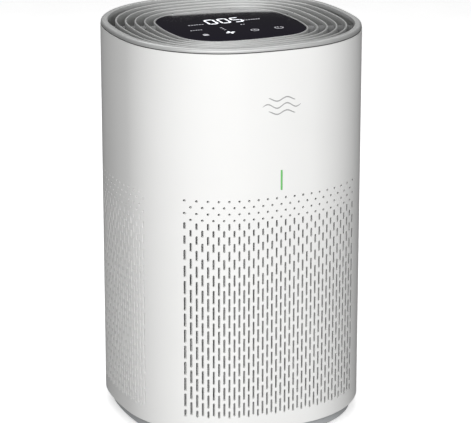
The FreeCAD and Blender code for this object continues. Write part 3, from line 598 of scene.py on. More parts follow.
@dataclass
class InletPattern:
    """The rule of the inlet holes: rows of dots that lengthen downwards into slots, every second column lowered.

    Args:
        pitch: distance between columns.
        rows: number of rows.
        top: height of the first row above the shell's lower edge.
        steps: distance between rows in the upper, middle and lower parts.
        lengths: slot length of each pair of rows, the last one repeated.
        dot: radius of a dot.
        half: half width of a slot.
        clear: lowest point of any slot above the shell's lower edge.
        front: number of columns on the front and back.
        flank: number of columns on each side.
        upper_rows: how many steps the upper part has.
        middle_rows: how many steps the middle part has.
        slot_from: a length above this makes a slot, and a shorter one a dot.
        depth: middle of a cutter, inwards from the middle of the tower.
        bite: length of a cutter.
    """

    pitch: float = 4.71
    rows: int = 29
    top: float = 238.2
    steps: tuple[float, float, float] = (6.35, 7.1, 8.35)
    lengths: tuple[float, ...] = (2.4, 2.4, 7.0, 9.0, 10.6, 12.0, 14.0)
    dot: float = 1.2
    half: float = 1.0
    clear: float = 15.5
    front: int = 39
    flank: int = 25
    upper_rows: float = 4.0
    middle_rows: float = 3.0
    slot_from: float = 3.0
    depth: float = -107.5
    bite: float = 45.0

    def field_tree(self) -> bpy.types.NodeTree:
        """A group that lays out one wall's cutters, in millimetres, with its middle column on -Y."""
        group = new_group(
            "inlet_cutters", "GeometryNodeTree",
            {"Columns": ("NodeSocketInt", self.front), "Odd Start": ("NodeSocketInt", 0),
             "Turn": ("NodeSocketFloat", 0.0), "Pitch": ("NodeSocketFloat", self.pitch),
             "Top Row": ("NodeSocketFloat", self.top),
             "Dot Radius": ("NodeSocketFloat", self.dot), "Slot Half Width": ("NodeSocketFloat", self.half),
             "Lowest": ("NodeSocketFloat", self.clear), "Shell Base": ("NodeSocketFloat", 0.0)},
            ["Cutters"], "NodeSocketGeometry",
        )
        start, calc = group.start, group.math
        index = group.add("GeometryNodeInputIndex").outputs[0]
        column = calc("MODULO", index, start["Columns"])
        row = calc("FLOOR", calc("DIVIDE", index, start["Columns"]))
        odd = calc("MODULO", calc("ADD", calc("ADD", column, row), start["Odd Start"]), 2.0)
        past_upper = calc("MAXIMUM", calc("SUBTRACT", row, self.upper_rows), 0.0)
        past_middle = calc("MAXIMUM", calc("SUBTRACT", row, self.upper_rows + self.middle_rows), 0.0)
        upper = calc("MULTIPLY", calc("MINIMUM", row, self.upper_rows), self.steps[0])
        middle = calc("MULTIPLY", calc("MINIMUM", past_upper, self.middle_rows), self.steps[1])
        lower = calc("MULTIPLY", past_middle, self.steps[2])
        drop = calc("ADD", calc("ADD", upper, middle), lower)
        height = calc("SUBTRACT", start["Top Row"], drop)
        length = self._length(group, row)
        reach = calc("DIVIDE", length, 2.0)
        bottom = calc("MAXIMUM", calc("SUBTRACT", height, reach), start["Lowest"])
        top = calc("ADD", height, reach)
        tall = calc("SUBTRACT", top, bottom)
        is_slot = calc("GREATER_THAN", length, self.slot_from)
        radius = calc("ADD", calc("MULTIPLY", start["Slot Half Width"], is_slot),
                      calc("MULTIPLY", start["Dot Radius"], calc("SUBTRACT", 1.0, is_slot)))
        middle_column = calc("DIVIDE", calc("SUBTRACT", start["Columns"], 1.0), 2.0)
        across = calc("MULTIPLY", calc("SUBTRACT", column, middle_column), start["Pitch"])
        level = calc("ADD", start["Shell Base"], calc("DIVIDE", calc("ADD", top, bottom), 2.0))
        count = calc("MULTIPLY", start["Columns"], float(self.rows))
        place = group.vector(across, self.depth, level)
        points = group.add("GeometryNodePoints", {"Count": count, "Position": place})
        stretch = calc("SUBTRACT", tall, calc("MULTIPLY", radius, 2.0))
        # The point's own index changes when its neighbours go, so its sizes are stored before that.
        stored = group.add("GeometryNodeStoreNamedAttribute",
                           {"Geometry": points.outputs[0], "Name": "stretch", "Value": stretch}, domain="POINT")
        sized = group.add("GeometryNodeStoreNamedAttribute",
                          {"Geometry": stored.outputs[0], "Name": "radius_here", "Value": radius}, domain="POINT")
        kept = group.add("GeometryNodeDeleteGeometry", {"Geometry": sized.outputs[0], "Selection": odd}, domain="POINT")
        here = group.add("GeometryNodeInputNamedAttribute", {"Name": "radius_here"}, data_type="FLOAT").outputs[0]
        placed = group.add("GeometryNodeInstanceOnPoints", {
            "Points": kept.outputs[0], "Instance": self._cutter(group), "Scale": group.vector(here, 1.0, here),
        })
        solid = group.add("GeometryNodeRealizeInstances", {"Geometry": placed.outputs[0]})
        end = group.add("GeometryNodeInputNamedAttribute", {"Name": "end"}, data_type="FLOAT").outputs[0]
        spread = group.add("GeometryNodeInputNamedAttribute", {"Name": "stretch"}, data_type="FLOAT").outputs[0]
        lift = calc("MULTIPLY", calc("MULTIPLY", end, spread), 0.5)
        moved = group.add("GeometryNodeSetPosition", {
            "Geometry": solid.outputs[0], "Offset": group.vector(0.0, 0.0, lift),
        })
        swung = group.add("GeometryNodeTransform", {
            "Geometry": moved.outputs[0], "Rotation": group.vector(0.0, 0.0, start["Turn"]),
        })
        return group.give({"Cutters": swung.outputs[0]})

    def _length(self, group: GroupWiring, row: bpy.types.NodeSocket) -> bpy.types.NodeSocket:
        """The slot length of a row."""
        pair = group.math("MINIMUM", group.math("FLOOR", group.math("DIVIDE", row, 2.0)), float(len(self.lengths) - 1))
        switch = group.tree.nodes.new("GeometryNodeIndexSwitch")
        switch.data_type = "FLOAT"
        while len(switch.index_switch_items) < len(self.lengths):
            switch.index_switch_items.new()
        group.tree.links.new(pair, switch.inputs["Index"])
        for k, length in enumerate(self.lengths):
            switch.inputs[str(k)].default_value = length
        return switch.outputs[0]

    def _cutter(self, group: GroupWiring) -> bpy.types.NodeSocket:
        """One round cutter of unit radius along Y, marked by which end of the slot each corner belongs to."""
        pin = group.add("GeometryNodeMeshCylinder", {"Vertices": 12, "Radius": 1.0, "Depth": self.bite})
        rolled = group.add("GeometryNodeTransform", {
            "Geometry": pin.outputs["Mesh"], "Rotation": (0.0, 0.0, math.radians(15.0)),
        })
        laid = group.add("GeometryNodeTransform", {
            "Geometry": rolled.outputs[0], "Rotation": (math.radians(90.0), 0.0, 0.0),
        })
        place = group.add("GeometryNodeInputPosition").outputs[0]
        up = group.add("ShaderNodeSeparateXYZ", {0: place}).outputs["Z"]
        marked = group.add("GeometryNodeStoreNamedAttribute", {
            "Geometry": laid.outputs[0], "Name": "end", "Value": group.math("SIGN", up),
        }, domain="POINT")
        return marked.outputs[0]

    def wall_tree(self, light: tuple[float, float, float]) -> bpy.types.NodeTree:
        """The tree that pierces a plain wall on all four sides and cuts the light's window.

        Args:
            light: half width, middle level and half height of the window.

        Returns:
            The tree.
        """
        group = new_group(
            "pierced_wall", "GeometryNodeTree",
            {"Wall": ("NodeSocketGeometry", None), "Front Columns": ("NodeSocketInt", self.front),
             "Side Columns": ("NodeSocketInt", self.flank), "Pitch": ("NodeSocketFloat", self.pitch),
             "Shell Base": ("NodeSocketFloat", 0.0), "Finish": ("NodeSocketMaterial", None)},
            ["Wall"], "NodeSocketGeometry",
        )
        field = self.field_tree()
        sides = (("Front Columns", 0, 0.0), ("Side Columns", 1, 90.0),
                 ("Front Columns", 0, 180.0), ("Side Columns", 1, 270.0))
        join = group.add("GeometryNodeJoinGeometry")
        for columns, odd, turn in sides:
            side = group.add("GeometryNodeGroup", node_tree=field)
            side.inputs["Odd Start"].default_value = odd
            side.inputs["Turn"].default_value = math.radians(turn)
            for label, socket in (("Columns", columns), ("Pitch", "Pitch"), ("Shell Base", "Shell Base")):
                group.tree.links.new(group.start[socket], side.inputs[label])
            group.tree.links.new(side.outputs[0], join.inputs[0])
        half, level, rise = light
        window = group.add("GeometryNodeMeshCube", {"Size": (2 * half, 30.0, 2 * rise)})
        raised = group.add("GeometryNodeTransform", {
            "Geometry": window.outputs[0], "Translation": (0.0, -TOWER.half, level),
        })
        group.tree.links.new(raised.outputs[0], join.inputs[0])
        metres = group.add("GeometryNodeTransform", {"Geometry": join.outputs[0], "Scale": (MM, MM, MM)})
        cut = group.add("GeometryNodeMeshBoolean", {"Mesh 1": group.start["Wall"], "Mesh 2": metres.outputs[0]},
                        operation="DIFFERENCE", solver="MANIFOLD")
        return group.give_dressed("Wall", cut.outputs[0])


@dataclass
class Casing:
    """The white outer shell, its light and its printed mark.

    Args:
        wall: thickness of the shell.
        seam: height of the shadow gap under the rim.
        seam_depth: depth of that gap.
        edge: chamfer of the wall's outer lower edge.
        boss: radius of the screw bosses.
        boss_tall: their height.
        boss_bore: radius of their bores.
        boss_spread: distance of the bosses from the middle.
        boss_lean: their angle from the X axis, in degrees.
        base_gap: height of the black strip of painted shadow in the gap under the shell.
        web_start: how far from a boss's middle its web starts.
        window_half: half width of the light's window.
        light_half: half width of the light bar.
        light_ease: how far its front edges are eased.
        light_foot: how far the light's foot reaches past the bar, up and down.
        print_thick: thickness of the printed lines.
        print_proud: how far the print stands out.
        wave_long: length of one printed wave.
        waves: level, half length and height of each printed line.
        pattern: the inlet holes.
    """

    wall: float = 2.5
    seam: float = 0.8
    seam_depth: float = 1.1
    edge: float = 0.5
    boss: float = 4.5
    boss_tall: float = 20.0
    boss_bore: float = 1.6
    boss_spread: float = 113.0
    boss_lean: float = 18.5
    base_gap: float = 1.3
    web_start: float = 3.0
    window_half: float = 1.05
    light_half: float = 1.0
    light_ease: float = 0.4
    light_foot: float = 3.0
    print_thick: float = 1.2
    print_proud: float = 0.06
    wave_long: float = 20.0
    waves: tuple[tuple[float, float, float], ...] = ((350.5, 14.0, 1.7), (344.0, 20.0, 2.2), (337.5, 14.0, 1.7))
    pattern: InletPattern = field(default_factory=InletPattern)

    def __post_init__(self) -> None:
        """Reads the levels of the CAD shell and light."""
        self.low = lowest("outer_shell", 2)
        self.high = highest("outer_shell", 2)
        self.light_low = lowest("light_pipe", 2) + self.light_foot
        self.light_high = highest("light_pipe", 2) - self.light_foot

    def build(self) -> None:
        """Makes the casing's pieces and puts them on the fixed body."""
        self._shell()
        self._seam_band()
        self._base_band()
        self._light()
        self._breeze_mark()

    def _strip(self, name: str, outer: float, thick: float, low: float, high: float, slot: str) -> None:
        """A black strip of painted shade all round the tower, with its outer face at an inset."""
        shape = bmesh.new()
        swept(shape, [(outer - thick, low), (outer - thick, high), (outer, high), (outer, low)], along_plan(TOWER))
        place(dress(finished(name, shape), BLACK_PLASTIC), "root", slot)

    def _seam_band(self) -> None:
        """A black strip of painted shade at the bottom of the shadow gap under the rim."""
        self._strip("seam_band", self.seam_depth, 0.5, self.high - self.seam + 0.05, self.high - 0.05, "white_shell")

    def _base_band(self) -> None:
        """A black strip of painted shadow in the gap between the shell and the base."""
        high = self.low - 0.05
        skirt = TOWER.half - highest("base_ring", 0)
        self._strip("base_band", skirt, 0.3, high - self.base_gap, high, "grey_base")

    def _shell(self) -> None:
        """The pierced wall with its bosses."""
        shape = bmesh.new()
        profile = [
            (self.edge, self.low), (0.0, self.low + self.edge), (0.0, self.high - self.seam),
            (self.seam_depth, self.high - self.seam), (self.seam_depth, self.high),
            (self.wall, self.high), (self.wall, self.low),
        ]
        swept(shape, profile, along_plan(TOWER))
        plain = finished("shell_blank", shape)
        middle = (self.light_low + self.light_high) / 2
        tree = self.pattern.wall_tree((self.window_half, middle, (self.light_high - self.light_low) / 2 + 0.05))
        shell = grown("pierced_shell", tree, {"Shell Base": self.low, "Finish": SHELL_WHITE.build()}, plain.data)
        bpy.data.objects.remove(plain)
        self._bosses(shell)
        self._smooth(shell)
        place(shell, "root", "white_shell", ["outer_shell"])

    def _bosses(self, shell: bpy.types.Object) -> None:
        """Adds the screw bosses to the inside of the shell, as closed tubes with a web to the wall."""
        shape = bmesh.new()
        shape.from_mesh(shell.data)
        lean = math.radians(self.boss_lean)
        lows = (self.low, lowest("fan_deck", 2) - self.boss_tall)
        for side_x, side_y, low in product((-1, 1), (-1, 1), lows):
            x, y = side_x * self.boss_spread * math.cos(lean), side_y * self.boss_spread * math.sin(lean)
            post = self._post(x, y, side_x, low)
            bmesh.ops.recalc_face_normals(post, faces=post.faces)
            bmesh.ops.scale(post, vec=(MM, MM, MM), verts=post.verts)
            extra = bpy.data.meshes.new("post")
            post.to_mesh(extra)
            post.free()
            shape.from_mesh(extra)
            bpy.data.meshes.remove(extra)
        shape.to_mesh(shell.data)
        shape.free()

    def _post(self, x: float, y: float, side: int, low: float) -> bmesh.types.BMesh:
        """One screw boss with its web, in millimetres.

        Args:
            x: place of its middle across.
            y: place of its middle along.
            side: the side that its web reaches to, -1 or 1.
            low: its lower end.

        Returns:
            The shape, for the caller to free.
        """
        post = bmesh.new()
        high = low + self.boss_tall
        outline = [(x + a, y + b) for a, b in circle_points(self.boss, 20)]
        bore = [(x + a, y + b) for a, b in circle_points(self.boss_bore, 20)]
        rows = [[post.verts.new((a, b, level)) for a, b in ring] for ring, level in (
            (outline, low), (outline, high), (bore, high), (bore, low))]
        bridge(post, rows, closed=True)
        wall, half = TOWER.inset(self.wall / 2), self.wall / 2
        far = side * (wall.corner + math.sqrt(wall.turn ** 2 - (abs(y) - wall.corner) ** 2))
        near = x + side * self.web_start
        web = [(near, y - half), (far, y - half), (far, y + half), (near, y + half)]
        prism(post, web if side > 0 else web[::-1], low, high)
        return post

    def _smooth(self, shell: bpy.types.Object) -> None:
        """Gives the curved wall the normals of its plan, so that the holes leave no shading marks."""
        mesh = shell.data
        mesh.shade_smooth()
        mesh.set_sharp_from_angle(angle=math.radians(30))
        normals = [Vector(n.vector) for n in mesh.corner_normals]
        for face in mesh.polygons:
            middle = face.center
            outward = Vector((*TOWER.normal(middle.x / MM, middle.y / MM), 0.0))
            facing = face.normal.dot(outward)
            if abs(facing) < 0.9:
                for loop in face.loop_indices:
                    normals[loop] = face.normal.copy()
                continue
            if TOWER.inset(self.wall + 1.0).holds(middle.x / MM, middle.y / MM):
                continue
            for loop in face.loop_indices:
                spot = mesh.vertices[mesh.loops[loop].vertex_index].co
                way = Vector((*TOWER.normal(spot.x / MM, spot.y / MM), 0.0))
                normals[loop] = way if facing > 0 else -way
        mesh.normals_split_custom_set(normals)
        LOG.info("the shell has %d faces", len(mesh.polygons))

    def _light(self) -> None:
        """The slim green light guide: a bar with soft edges, and the foot that holds it behind the wall."""
        shape = bmesh.new()
        front = lowest("light_pipe", 1)
        back = front + self.wall + 0.3
        half, ease = self.light_half, self.light_ease
        outline = [(ease - half, front), (half - ease, front), (half, front + ease), (half, back), (-half, back),
                   (-half, front + ease)]
        low, high = self.light_low, self.light_high
        rows = []
        for share, level in ((0.6, low), (1.0, low + ease), (1.0, high - ease), (0.6, high)):
            rows.append([shape.verts.new((x * share, y, level)) for x, y in outline])
        bridge(shape, rows, caps=True)
        foot = [(-4.0, back), (4.0, back), (4.0, back + 1.5), (-4.0, back + 1.5)]
        prism(shape, foot, low - self.light_foot, high + self.light_foot)
        place(dress(finished("status_light_bar", shape, 30), LIGHT_GREEN), "root", "light_green", ["light_pipe"])

    def _breeze_mark(self) -> None:
        """A generic printed mark: three waving lines of air."""
        shape = bmesh.new()
        proud, steps = self.print_proud, 48
        for level, reach, swing in self.waves:
            rows = []
            for k in range(steps + 1):
                x = -reach + 2 * reach * k / steps
                z = level + swing * math.sin(2 * math.pi * x / self.wave_long)
                tip = math.sqrt(max(1.0 - (x / reach) ** 8, 0.0))
                half = self.print_thick / 2 * max(tip, 0.25)
                y = TOWER.side * -1 * math.sqrt(1 - (x / TOWER.side) ** 2) + TOWER.flat
                rows.append([shape.verts.new((x, y + dy, z + dz)) for dy, dz in (
                    (-proud, -half), (-proud, half), (0.3, half), (0.3, -half))])
            bridge(shape, rows, caps=True)
        place(dress(finished("breeze_mark", shape), PRINT_GREY), "root", "white_shell")


# ------------------------------------------------------------------ top

@dataclass
class Top:
    """The silver rim, the louvre rings and the display.

    Args:
        rim_width: width of the rim.
        rim_back: how far its outer face stands back from the shell's.
        rim_edge: radius of its outer edge.
        rim_lip: radius of its inner edge.
        louvres: number of rings between the rim and the screen border.
        thick: thickness of a ring.
        start: inset from which the rings are shared out.
        drop: how far the rings' outermost line lies below the rim.
        painted: how far below a ring's crest the walls start to wear the darker silver of painted shade.
        ribs: number of ribs.
        rib_thick: their thickness.
        hoop_back: inset of the hidden hoop that carries the ribs.
        hoop: thickness of that hoop.
        glass_edge: rounding of the glass.
    """

    rim_width: float = 7.3
    rim_back: float = 0.4
    rim_edge: float = 2.4
    rim_lip: float = 0.7
    louvres: int = 4
    thick: float = 1.8
    start: float = 6.1
    drop: float = 1.0
    painted: float = 3.0
    ribs: int = 8
    rib_thick: float = 1.6
    hoop_back: float = 3.0
    hoop: float = 2.5
    glass_edge: float = 0.5

    def __post_init__(self) -> None:
        """Reads the levels of the CAD rim, grille and lens."""
        self.rim_low, self.rim_high = lowest("top_rim", 2), highest("top_rim", 2)
        self.low, self.high = lowest("outlet_grille", 2), highest("outlet_grille", 2)
        self.glass_low, self.glass_high = lowest("display_lens", 2), highest("display_lens", 2)

    def build(self) -> None:
        """Makes the top's pieces and puts them on the fixed body."""
        self._rim()
        self._grille()
        self._glass()
        Readout(self.glass_high).build()

    def _rim(self) -> None:
        """The rim with its rounded outer and inner edges."""
        shape = bmesh.new()
        low, high, width = self.rim_low, self.rim_high, self.rim_width
        back, edge = self.rim_back, self.rim_edge
        profile = [(back + 0.3, low), (back, low + 0.3)]
        profile += [(back + x, level) for x, level in eased(edge, high, 7)]
        profile += [
            (width - self.rim_lip * (1 - math.sin(a)), high - self.rim_lip * (1 - math.cos(a))) for a in quarter(4)
        ]
        profile += [(width, low)]
        swept(shape, profile, along_plan(TOWER, 10, 30))
        place(dress(finished("rounded_rim", shape, 40), SILVER), "root", "silver", ["top_rim"])

    def line(self, step: float) -> Plan:
        """The plan of a louvre ring; the screen border is the last."""
        return TOWER.inset(self.start).towards(SCREEN, step / (self.louvres + 1))

    def crest(self, step: float) -> float:
        """The level of a louvre ring's top: the rings dip evenly from the rim to the glass."""
        start = self.rim_high - self.drop
        return start + (self.glass_high - start) * step / (self.louvres + 1)

    def _grille(self) -> None:
        """The rings with rounded tops, the border round the screen, the hidden hoop and the ribs."""
        shape = bmesh.new()
        half = self.thick / 2
        for step in range(1, self.louvres + 2):
            high = self.crest(step)
            # Below this line a ring's walls get the darker silver of painted shade.
            shade_line = high - self.painted
            crown = [(-half * math.cos(a), high - half * 0.8 * (1 - math.sin(a))) for a in (
                math.pi * k / 8 for k in range(9))]
            profile = [(-half, self.low), (-half, shade_line), *crown, (half, shade_line), (half, self.low)]
            before = len(shape.faces)
            swept(shape, profile, along_plan(self.line(step)))
            for face in shape.faces[before:]:
                if max(v.co.z for v in face.verts) <= shade_line + 0.01:
                    face.material_index = 1
        wall, hoop = TOWER.inset(self.hoop_back), self.hoop
        swept(shape, [(0.0, self.low), (0.0, self.rim_low), (hoop, self.rim_low), (hoop, self.low)],
              along_plan(wall, 6, 20))
        tray = lowest("display_tray", 2)
        seat = SCREEN.inset(half)
        swept(shape, [(-half, tray - 2.0), (-half, tray), (5.0, tray), (5.0, tray - 2.0)],
              along_plan(seat, 6, 20))
        swept(shape, [(-half, tray - 2.0), (-half, self.low + 1.0), (0.0, self.low + 1.0), (0.0, tray - 2.0)],
              along_plan(seat, 6, 20))
        made = dress(finished("louvre_rings", shape, 32), SILVER)
        # The second finish is the darker silver of painted shade.
        made.data.materials.append(SHADED_SILVER.build())
        place(made, "root", "silver", ["outlet_grille"])
        place(self._ribs(), "root", "silver")

    def _ribs(self) -> bpy.types.Object:
        """The ribs, grown by a tree that turns one rounded bar about the middle."""
        group = new_group(
            "louvre_ribs", "GeometryNodeTree",
            {"Rib": ("NodeSocketGeometry", None), "Count": ("NodeSocketInt", self.ribs),
             "First Angle": ("NodeSocketFloat", 0.0), "Finish": ("NodeSocketMaterial", None)},
            ["Ribs"], "NodeSocketGeometry",
        )
        step = group.math("DIVIDE", 2 * math.pi, group.start["Count"])
        index = group.add("GeometryNodeInputIndex").outputs[0]
        swing = group.math("ADD", group.start["First Angle"], group.math("MULTIPLY", index, step))
        spots = group.add("GeometryNodePoints", {"Count": group.start["Count"]})
        placed = group.add("GeometryNodeInstanceOnPoints", {
            "Points": spots.outputs[0], "Instance": group.start["Rib"], "Rotation": group.vector(0.0, 0.0, swing),
        })
        tree = group.give_dressed("Ribs", placed.outputs[0])
        shape = bmesh.new()
        angle = math.pi / self.ribs
        near, far = SCREEN.reach(angle), TOWER.inset(4.2).reach(angle)
        top = self.rim_low - 2.0
        bar(shape, near, far, self.rib_thick, [(1.0, self.low), (1.0, top - 0.6), (0.5, top)])
        rib = finished("rib_blank", shape)
        # The ribs wear the darker silver as painted shade.
        made = grown("louvre_ribs", tree, {"First Angle": angle, "Finish": SHADED_SILVER.build()}, rib.data)
        bpy.data.objects.remove(rib)
        return made

    def _glass(self) -> None:
        """The tinted glass with its softened edge."""
        shape = bmesh.new()
        edge, high = self.glass_edge, self.glass_high
        outline = along_plan(SCREEN.inset(self.thick / 2 + 0.3))
        profile = [(0.0, self.glass_low), *eased(edge, high, 4)]
        swept(shape, profile, outline, closed=False, caps=True)
        place(dress(finished("display_glass", shape, 30), SCREEN_GLASS), "root", "dark_lens", ["display_lens"])


@dataclass
class Readout:
    """The lit marks under the glass: a reading of three digits, small marks and a row of touch icons.

    Args:
        level: the top of the glass.
        lift: how far the marks stand proud.
        digit: width, height and stroke of a digit.
        slant: how far a digit leans for each unit of its height.
        figures: the reading.
        first: the lower left corner of the first digit.
        digit_step: distance between digits.
    """

    level: float
    lift: float = 0.05
    digit: tuple[float, float, float] = (8.8, 18.5, 1.9)
    slant: float = 0.04
    figures: str = "005"
    first: Point = (-18.8, 8.0)
    digit_step: float = 13.8

    SEGMENTS: ClassVar[dict[str, str]] = {
        "0": "abcdef", "1": "bc", "2": "abged", "3": "abgcd", "5": "afgcd", "8": "abcdefg",
    }

    FAN: ClassVar[Point] = (-14.4, -33.3)
    LOCK: ClassVar[Point] = (-40.8, -33.3)
    CLOCK: ClassVar[Point] = (12.0, -32.6)
    POWER: ClassVar[Point] = (38.4, -31.8)
    # Rows of small print: middle across, foot, width and height.
    SMALL_PRINT: ClassVar[tuple[tuple[float, float, float, float], ...]] = (
        (-32.4, 10.0, 17.0, 1.5), (28.6, 11.6, 18.6, 2.0), (-41.1, -12.4, 13.2, 1.4), (11.3, -5.6, 5.4, 1.4),
    )
    SPEED_BARS: ClassVar[tuple[float, ...]] = (-20.6, -15.6, -10.6)

    def build(self) -> None:
        """Makes the bright reading and icons and the dimmer small marks."""
        bright, dim = bmesh.new(), bmesh.new()
        for k, figure in enumerate(self.figures):
            self._digit(bright, figure, self.first[0] + self.digit_step * k, self.first[1])
        self._fan_icon(bright, *self.FAN)
        self._lock_icon(dim, *self.LOCK)
        self._clock_icon(dim, *self.CLOCK)
        self._power_icon(dim, *self.POWER)
        for row in self.SMALL_PRINT:
            self._dashes(dim, *row)
        for level in self.SPEED_BARS:
            self._stroke(dim, [(-15.9, level), (-13.3, level + 0.9)], 1.1)
        place(dress(finished("display_reading", bright), MARK_BRIGHT), "root", "dark_lens")
        place(dress(finished("display_marks", dim), MARK_DIM), "root", "dark_lens")

    def _slab(self, shape: bmesh.types.BMesh, outline: Sequence[Point]) -> None:
        """A thin slab of an outline on the glass."""
        prism(shape, outline, self.level - 0.05, self.level + self.lift)

    def _stroke(self, shape: bmesh.types.BMesh, spots: Sequence[Point], width: float) -> None:
        """A straight stroke between each pair of points."""
        for (ax, ay), (bx, by) in zip(spots, spots[1:]):
            length = math.hypot(bx - ax, by - ay)
            nx, ny = -(by - ay) / length * width / 2, (bx - ax) / length * width / 2
            self._slab(shape, [(ax + nx, ay + ny), (ax - nx, ay - ny), (bx - nx, by - ny), (bx + nx, by + ny)])

    def _arc(
        self, shape: bmesh.types.BMesh, x: float, y: float, radius: float, start: float, sweep: float, width: float,
    ) -> None:
        """A curved stroke as one band."""
        steps = max(int(sweep / 12), 3)
        angles = [math.radians(start + sweep * k / steps) for k in range(steps + 1)]
        outer, inner = (
            [(x + reach * math.cos(a), y + reach * math.sin(a)) for a in angles]
            for reach in (radius + width / 2, radius - width / 2)
        )
        for k in range(steps):
            self._slab(shape, [inner[k], outer[k], outer[k + 1], inner[k + 1]])

    def _digit(self, shape: bmesh.types.BMesh, figure: str, x: float, y: float) -> None:
        """One seven-segment digit whose lower left corner is given."""
        wide, tall, stroke = self.digit
        gap = 0.35
        half = tall / 2
        ends = {
            "a": ((0, tall), (wide, tall)), "d": ((0, 0), (wide, 0)), "g": ((0, half), (wide, half)),
            "f": ((0, half), (0, tall)), "b": ((wide, half), (wide, tall)),
            "e": ((0, 0), (0, half)), "c": ((wide, 0), (wide, half)),
        }
        for name in self.SEGMENTS[figure]:
            (ax, ay), (bx, by) = ends[name]
            length = math.hypot(bx - ax, by - ay)
            ux, uy = (bx - ax) / length, (by - ay) / length
            r = stroke / 2
            spots = [(gap, 0.0), (gap + r, r), (length - gap - r, r),
                     (length - gap, 0.0), (length - gap - r, -r), (gap + r, -r)]
            outline = [(ax + u * ux - v * uy, ay + u * uy + v * ux) for u, v in spots]
            self._slab(shape, [(x + px + self.slant * py, y + py) for px, py in outline])

    def _dashes(self, shape: bmesh.types.BMesh, x: float, y: float, wide: float, tall: float) -> None:
        """A row of short dashes that stands for small print."""
        count = max(int(wide / 2.6), 2)
        step = wide / count
        for k in range(count):
            left = x - wide / 2 + step * k
            self._slab(shape, [(left, y), (left + step * 0.62, y), (left + step * 0.62, y + tall), (left, y + tall)])

    def _fan_icon(self, shape: bmesh.types.BMesh, x: float, y: float) -> None:
        """Four curved blades round a hub."""
        self._slab(shape, [(x + a, y + b) for a, b in circle_points(0.9, 12)])
        for k in range(4):
            angle = math.radians(90.0 * k + 20.0)
            blade = [(1.3, -0.5), (3.0, -1.9), (4.6, -1.6), (4.9, 0.1), (3.2, 0.9), (1.3, 0.6)]
            self._slab(shape, [(x + px, y + py) for px, py in (turned(spot, angle) for spot in blade)])

    def _lock_icon(self, shape: bmesh.types.BMesh, x: float, y: float) -> None:
        """A padlock."""
        self._slab(shape, [(x - 2.7, y - 3.6), (x + 2.7, y - 3.6), (x + 2.7, y + 0.6), (x - 2.7, y + 0.6)])
        self._arc(shape, x, y + 0.6, 1.9, 0.0, 180.0, 0.8)

    def _clock_icon(self, shape: bmesh.types.BMesh, x: float, y: float) -> None:
        """A clock face in a thin ring."""
        self._arc(shape, x, y, 3.9, 0.0, 360.0, 0.8)
        self._stroke(shape, [(x, y + 2.4), (x, y), (x + 1.8, y)], 0.7)

    def _power_icon(self, shape: bmesh.types.BMesh, x: float, y: float) -> None:
        """A broken ring with a bar in its gap."""
        self._arc(shape, x, y, 4.1, 125.0, 290.0, 0.9)
        self._stroke(shape, [(x, y + 1.2), (x, y + 5.0)], 0.9)


# ------------------------------------------------------------------ filter

